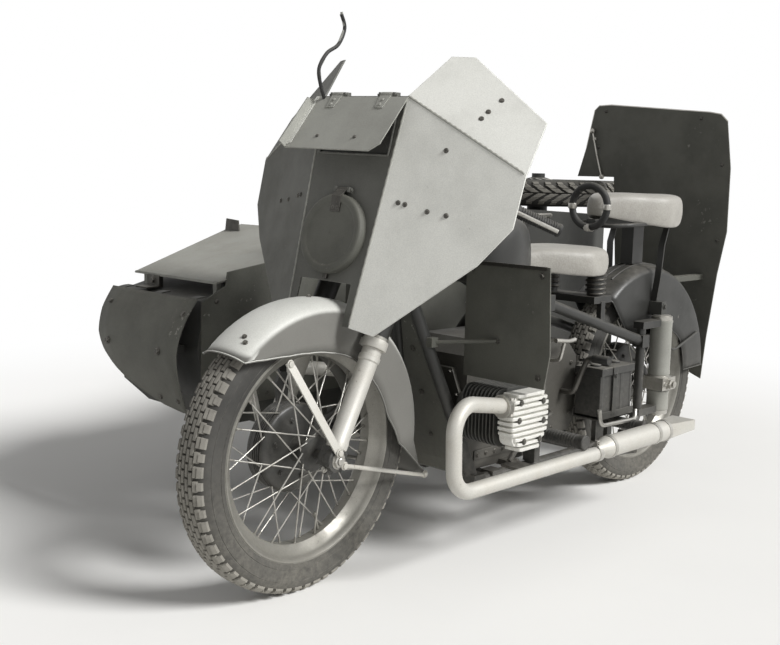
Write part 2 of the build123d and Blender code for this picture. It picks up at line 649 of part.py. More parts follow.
# ------------------------------------------------------------------ motorcycle chassis
def make_frame():
    """Cradle of straight tubes in lugs, with the steering head and the spring units' arms."""
    head = fork_bar(HEAD_LOW, 0, 0, HEAD_HIGH - HEAD_LOW, HEAD_OUT_R)
    head_lug = fork_block((HEAD_LOW + 12, HEAD_HIGH - 17), (-62, -8), (-38, 38))
    rail_end = (POST_X, PLUNGER_Y, PLUNGER_LOW + 20)
    rail_rear = (POST_X + 60, RAIL_Y, RAIL_Z)
    runs = [*UPPER_RUNS, DOWN_RUN, (DOWN_RUN[1], rail_rear), (rail_rear, rail_end)]
    side = [rod(a, b, FRAME_D) for a, b in runs]
    side.append(rod(rail_end, (POST_X, PLUNGER_Y, PLUNGER_HIGH - 20), POST_D))
    side += [lug(TANK_LUG), lug((POST_X, PLUNGER_Y, REAR_LUG_Z), LUG - 6), lug(DOWN_RUN[1]), lug(rail_rear)]
    side += [lug((x, RAIL_Y, RAIL_Z), LUG - 4) for x in CROSS_X]
    half = LUG / 2 - 4
    for low in (PLUNGER_LOW + 8, PLUNGER_HIGH - 8 - ARM_T):
        side.append(block(PLUNGER_R + FIT, POST_X + half, PLUNGER_Y - half, PLUNGER_Y + half, low, low + ARM_T))
    across = [rod((x, -RAIL_Y, RAIL_Z), (x, RAIL_Y, RAIL_Z), CROSS_D) for x in CROSS_X]
    x, y, z = TANK_LUG
    across.append(rod((x, -y, z), (x, y, z), CROSS_D))
    bore = fork_bar(HEAD_LOW - 50, 0, 0, HEAD_HIGH - HEAD_LOW + 100, STEM_R + FIT)
    return joined([head, head_lug, *mirrored(side), *across]) - bore


def grown_runs():
    """The frame's upper tubes and lugs with a seating gap, to cut from what lies on them."""
    runs = [rod(a, b, FRAME_D + 2 * FIT) for a, b in UPPER_RUNS]
    return mirrored([*runs, lug(TANK_LUG, LUG + 2 * FIT)])


def make_plungers():
    """Spring units, one each side, with the rear spindle held between them and the final drive."""
    unit = Pos(0, PLUNGER_Y, (PLUNGER_LOW + PLUNGER_HIGH) / 2) * Cylinder(PLUNGER_R, PLUNGER_HIGH - PLUNGER_LOW)
    ring = Pos(0, PLUNGER_Y, AXLE_Z) * Box(2 * PLUNGER_R + 12, 2 * PLUNGER_R + 12, 40)
    axle = Pos(*REAR_AXLE) * spindle(REAR_SPINDLE_HALF, REAR_SPINDLE_HALF)
    shaft_y = SHAFT_D / 2 - GEARBOX_HALF_W  # its outer side is level with the gearbox
    shaft = rod((30, shaft_y, AXLE_Z), (430 - FIT, shaft_y, AXLE_Z), SHAFT_D)
    return joined([*mirrored([unit, ring]), axle, shaft])


def make_engine():
    """Crankcase and gearbox as plain closed castings, on feet that rest on the rails."""
    crank = side_profile([(640, 215), (905, 215), (935, 250), (935, 520), (900, 560), (640, 560)],
                         -CRANK_HALF_W, CRANK_HALF_W)
    box = side_profile([(430, 280), (460, 250), (640, 250), (640, 520), (480, 520), (430, 470)],
                       -GEARBOX_HALF_W, GEARBOX_HALF_W)
    feet = mirrored([block(750, 790, CRANK_HALF_W - 8, RAIL_Y + 14, RAIL_Z + FRAME_D / 2 + FIT, 222)])
    inner = CRANK_HALF_W - 5
    left = Pos(CYL_X, 0, CYL_Z) * disc(FLANGE_R, inner, CYL_FOOT)
    right = Pos(CYL_X - CYL_STAGGER, 0, CYL_Z) * disc(FLANGE_R, -CYL_FOOT, -inner)
    return joined([crank, box, *feet, left, right])


def octagon(half, corner):
    """Square outline with its corners cut, about the origin."""
    return [(-half, -half + corner), (-half + corner, -half), (half - corner, -half), (half, -half + corner),
            (half, half - corner), (half - corner, half), (-half + corner, half), (-half, half - corner)]


def make_cylinder():
    """Left finned barrel and its flat head with fins across its face."""
    foot = CYL_FOOT + FIT
    head_in = HEAD_FACE_Y - HEAD_DEPTH
    outline = octagon(HEAD_SIZE / 2, HEAD_CORNER)
    barrel = octagon(BARREL_R, BARREL_R * 0.55)
    pieces = [side_profile(barrel, foot, head_in + 5), side_profile(outline, head_in, HEAD_FACE_Y)]
    for i in range(int((head_in - foot - 8) // FIN_PITCH)):
        y = foot + 8 + i * FIN_PITCH
        pieces.append(side_profile(outline, y, y + FIN_T))
    cylinder = joined(pieces)
    rows = int(HEAD_SIZE // FACE_FIN_PITCH) - 1
    for i in range(rows):
        z = (i - (rows - 1) / 2) * FACE_FIN_PITCH
        cylinder -= block(-HEAD_SIZE, HEAD_SIZE, HEAD_FACE_Y - 14, HEAD_FACE_Y + 5,
                          z - FACE_FIN_GAP / 2, z + FACE_FIN_GAP / 2)
    return cylinder


def make_exhaust(cylinder_x):
    """Header, pipe, silencer and fishtail of the left side, from a cylinder head at some X."""
    rear, front = SILENCER_X
    port = cylinder_x + HEAD_SIZE / 2 + FIT
    port_z = CYL_Z + PORT_RISE
    flange = block(port, port + PORT_FLANGE_T, PORT_Y - PORT_FLANGE / 2, PORT_Y + PORT_FLANGE / 2,
                   port_z - PORT_FLANGE / 2, port_z + PORT_FLANGE / 2)
    pipe = tube([(port + PORT_FLANGE_T / 2, PORT_Y, port_z), (PIPE_FRONT_X, PIPE_Y, PIPE_TOP_Z),
                 (PIPE_FRONT_X - 8, PIPE_Y, PIPE_Z), (front, PIPE_Y, PIPE_Z)], PIPE_D, bend=PIPE_BEND)
    centre_z = PIPE_Z + SILENCER_LIFT
    profile = [(rear + 30, 0), (rear + 30, SILENCER_D / 2), (front - 30, SILENCER_D / 2),
               (front + 20, PIPE_D / 2 - 4), (front + 20, 0)]
    body = revolve(make_face(Polyline(*profile, close=True)), Axis.X)
    body = Pos(0, PIPE_Y, centre_z) * body
    tail = loft([Plane(origin=(rear + 40, PIPE_Y, centre_z), z_dir=(-1, 0, 0)) * Rectangle(44, 44),
                 Plane(origin=(rear - 85, PIPE_Y, centre_z + 6), z_dir=(-1, 0, 0)) * Rectangle(30, 76)])
    return joined([flange, pipe, body, tail])


def make_tank():
    """Fuel tank: rounded in plan and on top, seated over the upper tubes, with its filler cap."""
    f, r, top, low = TANK_FRONT_X, TANK_REAR_X, TANK_TOP_Z, TANK_BASE_Z
    side = side_profile([(f, low + 60), (f - 5, top - 55), (f - 45, top - 8), (f - 120, top), (f - 230, top - 26),
                         (r, top - 100), (r, low), (f - 60, low)], -TANK_HALF_W, TANK_HALF_W)
    half = [(f, 70), (f - 60, TANK_HALF_W - 20), (f - 140, TANK_HALF_W), (r + 60, TANK_HALF_W - 30), (r, 70)]
    plan = plan_profile(half + [(x, -y) for x, y in reversed(half)], low - 50, top + 50)
    cap = Pos(f - 75, 0, top + 4) * Cylinder(32, 30)
    tank = (side & plan).fuse(cap)
    for run in grown_runs():
        tank -= run
    return tank


def make_saddle(ends, top_z, half_w, drop):
    """Sprung saddle top: pear-shaped in plan, crowned by chamfers."""
    rear_x, nose_x = ends
    mid = rear_x + (nose_x - rear_x) * 0.3
    half = [(nose_x, 28), (nose_x - 60, 62), (mid + 60, half_w - 12), (mid, half_w), (rear_x + 25, half_w - 18),
            (rear_x, half_w - 70)]
    pad = plan_profile(half + [(x, -y) for x, y in reversed(half)], top_z - drop, top_z)
    return chamfer(pad.faces().sort_by(Axis.Z)[-1].edges(), 26)


def make_saddle_irons():
    """Irons, springs and shelf that carry both saddles."""
    base = SADDLE_TOP - SADDLE_DROP - FIT
    x, y, z = TANK_LUG
    front = [block(x - 12, x + 12, -12, 12, z + CROSS_D / 2 + FIT, base), block(330, x + 12, -16, 16, base - 14, base)]
    shelf_x = 345.0
    tube_z = REAR_LUG_Z + (shelf_x - POST_X) / (x - POST_X) * (z - REAR_LUG_Z)
    tube_y = PLUNGER_Y + (shelf_x - POST_X) / (x - POST_X) * (y - PLUNGER_Y)
    shelf = block(shelf_x - 45, shelf_x + 45, -112, 112, 620, 640)
    legs = mirrored([block(shelf_x - 10, shelf_x + 10, tube_y - 8, tube_y + 8, tube_z, 625)])
    coils = mirrored([Pos(shelf_x, 84, (640 + base) / 2) * Cylinder(26, base - 640)])
    driver = joined([*front, shelf, *legs, *coils])
    for run in grown_runs():
        driver -= run
    iron_top = PILLION_TOP - PILLION_DROP - FIT
    guard_top = AXLE_Z + REAR_GUARD_R
    iron = joined([block(-60, GRAB_X - GRAB_BAR_R - FIT, -16, 16, iron_top - 16, iron_top),
                   block(-10, 50, -22, 22, guard_top + FIT, iron_top - 10),
                   block(GRAB_X - 32, GRAB_X - GRAB_BAR_R - FIT, -12, 12, GRAB_Z - GRAB_R - 9, iron_top)])
    return grouped([driver, iron])


def make_grab_ring():
    """Rubber ring that the pillion rider holds."""
    corner = [(GRAB_R + GRAB_BAR_R * cos(radians(a)), GRAB_BAR_R * sin(radians(a))) for a in range(0, 360, 45)]
    return Pos(GRAB_X, 0, GRAB_Z) * (Rot(0, 0, 90) * spun(corner))


def make_leg_shields():
    """Flat plates in front of the rider's legs, each on a strap and a stay."""
    plate_x = LEG_PLATE_X
    outline = [(plate_x, y, z) for y, z in ((92, 474), (92, 772), (352, 772), (362, 560), (348, 474))]
    plate = slab(outline, ARMOUR, (-1, 0, 0))
    strap = block(plate_x - 1, plate_x + 5, 30, 110, 742, 764)
    (x0, y0, z0), (x1, y1, z1) = DOWN_RUN
    share = (z0 - 566.0) / (z0 - z1)
    tube_at = Vector(x0, y0, z0) + (Vector(x1, y1, z1) - Vector(x0, y0, z0)) * share
    stay = rod((plate_x - 1, 200, 576), (tube_at.X - 4, tube_at.Y + FRAME_D / 2 + 10, 566), STAY_D)
    saddle = Pos(tube_at.X, tube_at.Y + FRAME_D / 2 + 5, 566) * Box(24, 20, 24)
    saddle -= rod(*DOWN_RUN, FRAME_D + 2 * FIT)
    return mirrored([joined([plate, strap, stay, saddle])])


def make_engine_guard():
    """Sheet between the down tubes, in their plane, that bends back under the crankcase."""
    (x0, y0, z0), (x1, y1, z1) = DOWN_RUN
    top_z, bend_z, half_t = 640.0, 235.0, SHEET / 2 + 0.5

    def tube_x(z):
        return x0 + (x1 - x0) * (z0 - z) / (z0 - z1)

    def gap_y(z):
        return y0 + (y1 - y0) * (z0 - z) / (z0 - z1) - FRAME_D / 2 - 8 * FIT
    path = [(tube_x(top_z), top_z), (tube_x(bend_z), bend_z), (918, 197), (880, 180)]
    outer = [(x + half_t, z) for x, z in path]
    inner = [(x - half_t, z + half_t) for x, z in path]
    low_half = RAIL_Y - LUG / 2 - FIT
    sheet = side_profile(outer + inner[::-1], -low_half, low_half)
    front = [(1200, -gap_y(top_z), top_z + 5), (1200, gap_y(top_z), top_z + 5), (1200, low_half, bend_z - 20),
             (1200, low_half, 150), (1200, -low_half, 150), (1200, -low_half, bend_z - 20)]
    return sheet & slab(front, 400, (-1, 0, 0))


def make_rear_plate():
    """Back plate, wider toward the sidecar, cut away above the sidecar's spare wheel."""
    outline = [(0, 1222), (45, 1214), (70, 1190), (92, 1030), (94, 812), (68, 664), (42, 438), (30, 286),
               (-38, 312), (-330, 420), (-372, 990), (-534, 990), (-500, 1100), (-470, 1238), (-452, 1254), (-400, 1256)]
    plate = slab([(REAR_PLATE_X, y, z) for y, z in outline], ARMOUR, (-1, 0, 0))
    pieces = [plate]
    for z in (640.0, 440.0):
        crown_x = -(REAR_GUARD_R**2 - (z - AXLE_Z) ** 2) ** 0.5
        pieces.append(block(REAR_PLATE_X - 1, crown_x - FIT, -14, 14, z, z + 18))
    return joined(pieces)


def make_footrests():
    """Rubber-covered pegs for both riders, each on a bracket that stands on a rail."""
    top = RAIL_Z + FRAME_D / 2 + FIT
    # peg X, its height, its inner and outer end, its diameter
    rows = [(PEG_X, PEG_Z, *PEG_Y, PEG_D), (REAR_PEG_X, REAR_PEG_Z, *REAR_PEG_Y, PEG_D - 4)]
    pieces = []
    for x, z, inner, outer, size in rows:
        peg = rod((x, inner - 6, z), (x, outer, z), size)
        bracket = block(x - 12, x + 12, RAIL_Y - 10, inner, top, z + size / 2 + 2)
        pieces.append(peg + bracket)
    return mirrored(pieces)


def make_battery():
    """Battery in its tray, which stands on the left rail."""
    case = block(284, 450, 102, 190, 300, 448)
    tray = block(280, 454, 98, 194, 292, 300)
    foot = block(330, 372, RAIL_Y - 8, RAIL_Y + 8, RAIL_Z + FRAME_D / 2 + FIT, 293)
    return joined([case, tray, foot])


# ------------------------------------------------------------------ sidecar
def tub_plan(inset):
    """Outline of the body in plan, inset by a wall."""
    i = inset
    return [(TUB_NOSE_X + 27 - i, TUB_IN_Y - i), (-470 + i, TUB_IN_Y - i), (-560 + i, TUB_IN_Y - 60 - i * 0.5),
            (-560 + i, TUB_OUT_Y + 100 + i * 0.5), (-440 + i, TUB_OUT_Y + i), (860 - i, TUB_OUT_Y + i),
            (TUB_NOSE_X + 27 - i, TUB_NOSE_OUT_Y + i)]


def deck_z(x):
    """Height of the nose deck."""
    return DECK_FRONT_Z + (TUB_NOSE_X - x) / (TUB_NOSE_X - DECK_REAR_X) * (DECK_REAR_Z - DECK_FRONT_Z)


def make_tub():
    """Hollow sheet body: nose, cockpit well and boot."""
    nose = TUB_NOSE_X
    side = side_profile([(nose, DECK_FRONT_Z), (nose + 25, 520), (nose, 380), (nose - 95, TUB_BASE_Z),
                         (-330, TUB_BASE_Z), (-520, 380), (-560, 560), (-550, 790), (-500, 845),
                         (-60, BOOT_TOP_Z), (40, 770), (WELL_X[1], DECK_REAR_Z), (DECK_REAR_X, DECK_REAR_Z)],
                        TUB_OUT_Y - 70, TUB_IN_Y + 30)
    tub = side & plan_profile(tub_plan(0), 200, 1000)
    rear, front = WELL_X
    floor = TUB_BASE_Z + TUB_WALL
    roof = DECK_REAR_Z - 40
    well = side_profile([(nose - 65, 590), (nose - 65, 400), (nose - 125, floor), (rear, floor), (rear, 1000),
                         (front, 1000), (front, roof), (DECK_REAR_X, roof)], TUB_OUT_Y - 70, TUB_IN_Y + 30)
    return tub - (well & plan_profile(tub_plan(TUB_WALL), 200, 1100))


def make_seat():
    """Passenger's cushion and back rest inside the body."""
    y0, y1 = TUB_OUT_Y + TUB_WALL + 40, TUB_IN_Y - TUB_WALL - 40
    floor = TUB_BASE_Z + TUB_WALL
    box = block(WELL_X[0] + 60, 520, y0 + 10, y1 - 10, floor + FIT, 420)
    cushion = block(WELL_X[0] + 50, 540, y0, y1, 420 + FIT, 500)
    back = side_profile([(WELL_X[0] + FIT, 500 + 2 * FIT), (WELL_X[0] + 90, 500 + 2 * FIT),
                         (WELL_X[0] + 40, 800), (WELL_X[0] + FIT, 800)], y0, y1)
    return grouped([box, cushion, back])


def make_nose_plate():
    """Rolled armour plate across the front of the sidecar, on two stand-offs."""
    profile = [(1419, 651), (1452, 604), (1476, 553), (1486, 509), (1483, 463), (1470, 405), (1452, 352)]
    inner = [(x - ARMOUR - 1, z - 1) for x, z in profile]
    y0, y1 = NOSE_PLATE_Y
    pieces = [side_profile(profile + inner[::-1], y0, y1),
              side_profile([(1419, 651), (1387, 656), (1387, 652), (1414, 646)], y0, y1)]
    pieces += [block(TUB_NOSE_X + 25 + FIT, 1482, y - 12, y + 12, 500, 520) for y in (y0 + 80, y1 - 80)]
    return joined(pieces)


def make_glacis():
    """Sloping plate over the sidecar's nose, on posts that stand on the deck."""
    (x0, z0), (x1, z1) = GLACIS_FRONT, GLACIS_REAR
    slope = (z1 - z0) / (x0 - x1)
    corners = [(x0, TUB_IN_Y), (x0, TUB_NOSE_OUT_Y), (x1 + 65, TUB_OUT_Y), (x1, TUB_OUT_Y), (x1, TUB_IN_Y)]
    pieces = [slab([(x, y, z0 + (x0 - x) * slope) for x, y in corners], ARMOUR, (0, 0, -1))]
    for x, y in [(1325, TUB_NOSE_OUT_Y + 30), (1325, -460), (905, TUB_OUT_Y + 25), (905, -460)]:
        pieces.append(block(x - 8, x + 8, y - 8, y + 8, deck_z(x - 8) + FIT, z0 + (x0 - x) * slope - 2))
    return joined(pieces)


def make_side_armour():
    """Plate on the sidecar's inner side, its top stepped up beside the cockpit."""
    outline = [(1400, 352), (1400, 640), (1322, 680), (1316, 716), (1180, 736), (760, 760), (300, 760), (300, 352)]
    return side_profile(outline, SIDE_PLATE_Y, SIDE_PLATE_Y - ARMOUR)


def make_side_frame():
    """Sidecar chassis: two long tubes, three cross tubes and the stub axle's arm."""
    z = SIDE_TUBE_Z
    inner_y, outer_y = SIDE_TUBE_IN_Y, SIDE_TUBE_OUT_Y
    cross_x = (960, SIDE_WHEEL_LEAD, -220)
    longs = [rod((1040, inner_y, z), (-300, inner_y, z), SIDE_TUBE_D),
             rod((1000, outer_y, z), (-250, outer_y, z), SIDE_TUBE_D)]
    joints = [lug((x, y, z), SIDE_TUBE_D + 12) for x in cross_x for y in (inner_y, outer_y)]
    across = [rod((x, inner_y, z), (x, outer_y, z), SIDE_TUBE_D - 6) for x in cross_x]
    lead = SIDE_WHEEL_LEAD
    arm = [block(lead - 26, lead + 26, 78 - TRACK, outer_y, z - 20, z + 20),
           block(lead - 24, lead + 24, 74 - TRACK, 116 - TRACK, z - 18, AXLE_Z + 24)]
    feet = [block(x - 25, x + 25, y - 15, y + 15, z + 10, TUB_BASE_Z - FIT)
            for x in (880, 300, -120) for y in (inner_y, outer_y)]
    axle = Pos(*SIDE_AXLE) * spindle(95, 70)
    return joined([*longs, *joints, *across, *arm, *feet, axle])


def make_struts():
    """Four struts that tie the sidecar's chassis to the motorcycle's frame."""
    z, inner_y = SIDE_TUBE_Z, SIDE_TUBE_IN_Y
    lug_side = LUG / 2
    clamp = SIDE_TUBE_D / 2 + FIT
    at_lug = (SIDE_TUBE_D + 12) / 2 + FIT
    x, y, tank_z = TANK_LUG
    (x0, y0, z0), (x1, y1, z1) = DOWN_RUN
    share = 0.45
    down_at = (x0 + (x1 - x0) * share, y0 + (y1 - y0) * share, z0 + (z1 - z0) * share)
    # frame end and sidecar end of each strut
    rows = [((CROSS_X[1], -RAIL_Y - lug_side + 2 - FIT, RAIL_Z), (CROSS_X[1], inner_y + clamp, z)),
            ((POST_X + 60, -RAIL_Y - lug_side - FIT, RAIL_Z), (POST_X + 60, inner_y + at_lug, z)),
            ((x, -y - lug_side - FIT, tank_z), (x, inner_y + clamp, z + 4)),
            ((down_at[0], -down_at[1] - FRAME_D / 2 - 12, down_at[2]), (1020, inner_y + clamp, z + 4))]
    return grouped([strut(a, b) for a, b in rows])


def strut(start, end):
    """One strut: a round bar between two upright end faces across the vehicle."""
    start, end = Vector(*start), Vector(*end)
    bar = rod(start + (start - end) * 0.1, end + (end - start) * 0.1, STRUT_D)
    return bar & block(start.X - 400, start.X + 400, end.Y, start.Y, 0, 1000)


def make_spare_mount():
    """Pillar on the boot, with the stub that the spare wheel's hub slides over, and its nut."""
    lift = (-DRUM_OUT, HUB_LEFT)
    low, high = SPARE_Z - lift[0] - FIT, SPARE_Z + lift[1] + FIT
    boot = BOOT_TOP_Z - (-60 - (SPARE_X + 40)) / 440 * (BOOT_TOP_Z - 845) + FIT
    pieces = [Pos(SPARE_X, SPARE_Y, (boot + low) / 2) * Cylinder(40, low - boot),
              Pos(SPARE_X, SPARE_Y, (low + high) / 2) * Cylinder(AXLE_R, high - low + 20),
              Pos(SPARE_X, SPARE_Y, high + 8) * Cylinder(26, 16)]
    return joined(pieces)


def build():
    """Every finished piece by its node's name."""
    made = {}
    made["frame"] = make_frame()
    made["plungers"] = make_plungers()
    made["engine"] = make_engine()
    cylinder = make_cylinder()
    right_x = CYL_X - CYL_STAGGER
    made["cylinder_left"] = Pos(CYL_X, 0, CYL_Z) * cylinder
    made["cylinder_right"] = mirror(Pos(right_x, 0, CYL_Z) * cylinder, Plane.XZ)
    made["exhaust_left"] = make_exhaust(CYL_X)
    made["exhaust_right"] = mirror(make_exhaust(right_x), Plane.XZ)
    made["fuel_tank"] = make_tank()
    made["driver_saddle"] = make_saddle(SADDLE_X, SADDLE_TOP, SADDLE_HALF_W, SADDLE_DROP)
    pillion = make_saddle(PILLION_X, PILLION_TOP, SADDLE_HALF_W - 2, PILLION_DROP)
    made["pillion_saddle"] = grouped([pillion, make_grab_ring()])
    made["saddle_irons"] = make_saddle_irons()
    made["rear_mudguard"] = make_rear_guard()
    made["leg_shields"] = grouped(make_leg_shields())
    made["engine_guard"] = make_engine_guard()
    made["rear_plate"] = make_rear_plate()
    made["footrests"] = grouped(make_footrests())
    made["battery"] = make_battery()

    steering = {
        "fork": make_fork(),
        "handlebar": grouped([make_handlebar(), *make_levers()]),
        "grips": grouped(make_grips()),
        "front_mudguard": grouped([make_front_guard(), *front_guard_stays()]),
        "shield_centre": make_shield_centre(),
        "headlamp": make_lamp(),
        "vision_flap": joined([make_flap(), make_pull_rod()]),
        "lamp_cover": make_lamp_cover(),
        "front_tyre": Pos(*FRONT_AXLE) * make_tyre(),
        "front_wheel": Pos(*FRONT_AXLE) * make_wheel(),
    }
    side, bracket = make_shield_side(), make_shield_bracket()
    steering["shield_left"] = grouped([side, bracket])
    steering["shield_right"] = grouped([mirror(side, Plane.XZ), mirror(bracket, Plane.XZ)])
    for name, shape in steering.items():
        made[name] = steered(shape)

    lying = Pos(SPARE_X, SPARE_Y, SPARE_Z) * Rot(90, 0, 0)
    for place, where in (("rear", Pos(*REAR_AXLE)), ("sidecar", Pos(*SIDE_AXLE)), ("spare", lying)):
        made[f"{place}_tyre"] = where * make_tyre()
        made[f"{place}_wheel"] = where * make_wheel()

    made["sidecar_frame"] = make_side_frame()
    made["sidecar_struts"] = make_struts()
    made["sidecar_body"] = make_tub()
    made["sidecar_seat"] = make_seat()
    made["sidecar_nose_plate"] = make_nose_plate()
    made["sidecar_top_plate"] = make_glacis()
    made["sidecar_side_plate"] = make_side_armour()
    made["sidecar_mudguard"] = make_side_guard()
    made["spare_mount"] = make_spare_mount()
    return made


parts = build()
boxes = [shape.bounding_box() for shape in parts.values()]
ORIGIN = Vector((min(b.min.X for b in boxes) + max(b.max.X for b in boxes)) / 2,
                (min(b.min.Y for b in boxes) + max(b.max.Y for b in boxes)) / 2,
                min(b.min.Z for b in boxes))

if __name__ == "__main__":
    os.makedirs("parts", exist_ok=True)
    for name, shape in parts.items():
        export_step(shape.moved(Location(-ORIGIN)), f"parts/{name}.step")
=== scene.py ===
"""Sidecar motorcycle with folded armour plates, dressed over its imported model.

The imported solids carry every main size. This file gives them their finishes and adds the fine
pieces: tread, spokes, fins, bolts, springs, covers and cushions. Sizes are millimetres from the
rear tyre's place on the ground, on the motorcycle's centre plane: X forward, Y to the rider's
left, Z up. Workpiece.make turns them into the frame's metres.
"""

import logging
from dataclasses import dataclass, field
from enum import Enum
from math import asin, copysign, cos, pi, radians, sin, tan
from typing import Iterable, Optional, Sequence

import bmesh
import bpy
from mathutils import Matrix, Vector


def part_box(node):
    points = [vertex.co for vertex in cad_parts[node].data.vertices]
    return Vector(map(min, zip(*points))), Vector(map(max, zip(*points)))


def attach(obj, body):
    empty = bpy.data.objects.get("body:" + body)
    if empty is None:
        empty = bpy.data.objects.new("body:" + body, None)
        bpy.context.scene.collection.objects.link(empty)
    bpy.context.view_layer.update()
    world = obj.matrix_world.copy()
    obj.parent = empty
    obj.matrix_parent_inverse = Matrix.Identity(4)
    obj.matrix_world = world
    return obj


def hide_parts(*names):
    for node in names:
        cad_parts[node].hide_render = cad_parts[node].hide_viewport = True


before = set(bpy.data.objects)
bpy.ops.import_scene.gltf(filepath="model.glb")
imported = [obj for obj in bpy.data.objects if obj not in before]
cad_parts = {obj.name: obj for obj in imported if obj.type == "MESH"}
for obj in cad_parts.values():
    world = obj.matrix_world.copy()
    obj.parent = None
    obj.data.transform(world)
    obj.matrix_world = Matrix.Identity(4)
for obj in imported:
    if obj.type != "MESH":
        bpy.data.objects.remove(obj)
LOG = logging.getLogger("sidecar_outfit")
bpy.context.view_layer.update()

Point = Sequence[float]
Ring = list[Vector]
Tree = bpy.types.NodeTree
Socket = bpy.types.NodeSocket

# ------------------------------------------------------------------ shared sizes
MM = 0.001
WHEELBASE = 1430.0
TRACK = 1100.0
SIDE_WHEEL_LEAD = 200.0
TYRE_R = 340.0
AXLE_Z = TYRE_R
STEER_REST = 3.4  # degrees to the left
RAKE = 27.0
TRAIL = 76.0
CHASSIS, STEERING = "chassis", "steering"
TURNED_BODIES = (STEERING, "vision_flap", "lamp_cover", "front_wheel")  # they stand turned with the fork

_rear_low, _rear_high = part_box("rear_tyre")
ORIGIN = Vector(((_rear_low.x + _rear_high.x) / 2, (_rear_low.y + _rear_high.y) / 2, _rear_low.z))

FRONT_AXLE = Vector((WHEELBASE, 0, AXLE_Z))
REAR_AXLE = Vector((0, 0, AXLE_Z))
SIDE_AXLE = Vector((SIDE_WHEEL_LEAD, -TRACK, AXLE_Z))
ACROSS = Vector((0, 1, 0))
UP = Vector((0, 0, 1))
AHEAD = Vector((1, 0, 0))

STEER_FOOT = Vector((WHEELBASE + TRAIL, 0, 0))
STEER_UP = Vector((-sin(radians(RAKE)), 0, cos(radians(RAKE))))
STEER_AHEAD = Vector((cos(radians(RAKE)), 0, sin(radians(RAKE))))
AXLE_ALONG = (FRONT_AXLE - STEER_FOOT).dot(STEER_UP)
AXLE_AHEAD = (FRONT_AXLE - STEER_FOOT).dot(STEER_AHEAD)

# the front shield's outline points on the left, on its outer face
HINGE = Vector((1252, 133, 1166))
CREASE_LOW = Vector((1389, 102, 639))
CREASE_REAR = Vector((1182, 420, 1002))
WING_TOP = Vector((1119, 215, 1262))
LAMP_Z = 842.0
CENTRE_SLOPE = (HINGE.x - CREASE_LOW.x) / (HINGE.z
                                           - CREASE_LOW.z)  # X for each millimetre up the centre plate


def mirrored_points(points: Iterable[Point]) -> Ring:
    """The same points on the other side of the centre plane."""
    return [Vector((p[0], -p[1], p[2])) for p in points]


def on_centre_plate(y: float, z: float, ahead: float = 0.0) -> Vector:
    """A point on the shield's centre plate, or some millimetres ahead of it."""
    return Vector((HINGE.x + CENTRE_SLOPE * (z - HINGE.z) + ahead, y, z))


def along_fork(along: float, ahead: float, y: float) -> Vector:
    """A point given along, ahead of and across the steering axis."""
    return STEER_FOOT + STEER_UP * along + STEER_AHEAD * ahead + ACROSS * y


def radial(degrees: float) -> Vector:
    """The way from a wheel's centre, in degrees from straight ahead towards up."""
    return AHEAD * cos(radians(degrees)) + UP * sin(radians(degrees))


def steer_matrix() -> Matrix:
    """The turn from straight ahead to where the fork stands, in millimetres."""
    to_foot = Matrix.Translation(STEER_FOOT)
    return to_foot @ Matrix.Rotation(radians(STEER_REST), 4, STEER_UP) @ to_foot.inverted()


STEERED = steer_matrix()


def basis(axis: Vector) -> tuple[Vector, Vector]:
    """Directions across an axis.

    Args:
        axis: the axis, of any length.

    Returns:
        Two unit vectors square to it and to each other.
    """
    axis = axis.normalized()
    helper = UP if abs(axis.z) < 0.9 else AHEAD
    first = helper.cross(axis).normalized()
    return first, axis.cross(first)


def circle(centre: Vector, first: Vector, second: Vector, radius: float, sides: int) -> Ring:
    """Points round a circle.

    Args:
        centre: its centre.
        first: the way to the first point.
        second: a quarter turn further on.
        radius: its radius.
        sides: how many points.

    Returns:
        The points.
    """
    turns = [2 * pi * k / sides for k in range(sides)]
    return [centre + (first * cos(turn) + second * sin(turn)) * radius for turn in turns]


def rounded(points: Iterable[Point], radius: float, steps: int = 8) -> Ring:
    """Straight runs with a smooth bend at each corner.

    Args:
        points: corners of the run.
        radius: how wide the bends are.
        steps: spans in a bend.

    Returns:
        The line's points.
    """
    corners = [Vector(p) for p in points]
    line = [corners[0]]
    for before, corner, after in zip(corners, corners[1:], corners[2:]):
        into, away = (corner - before), (after - corner)
        turn = into.angle(away)
        reach = min(radius * tan(turn / 2), into.length * 0.49, away.length * 0.49)
        start, end = corner - into.normalized() * reach, corner + away.normalized() * reach
        for i in range(steps + 1):
            t = i / steps
            line.append(start * (1 - t) ** 2 + corner * 2 * t * (1 - t) + end * t * t)
    line.append(corners[-1])
    return line


def smooth_line(points: Sequence[Point], spans: int = 4, loop: bool = False) -> Ring:
    """A smooth line through every point.

    Args:
        points: what the line passes through.
        spans: spans between two points.
        loop: whether it closes on itself.

    Returns:
        The line's points.
    """
    knots = [Vector(p) for p in points]
    count = len(knots)
    line: Ring = []
    for i in range(count if loop else count - 1):
        if loop:
            p0, p1, p2, p3 = (knots[(i + k) % count] for k in (-1, 0, 1, 2))
        else:
            p0, p1, p2, p3 = (knots[min(max(i + k, 0), count - 1)] for k in (-1, 0, 1, 2))
        for k in range(spans):
            t = k / spans
            line.append(0.5 * (2 * p1 + (p2 - p0) * t + (2 * p0 - 5 * p1 + 4 * p2 - p3) * t * t
                               + (3 * p1 - p0 - 3 * p2 + p3) * t ** 3))
    if not loop:
        line.append(knots[-1])
    return line


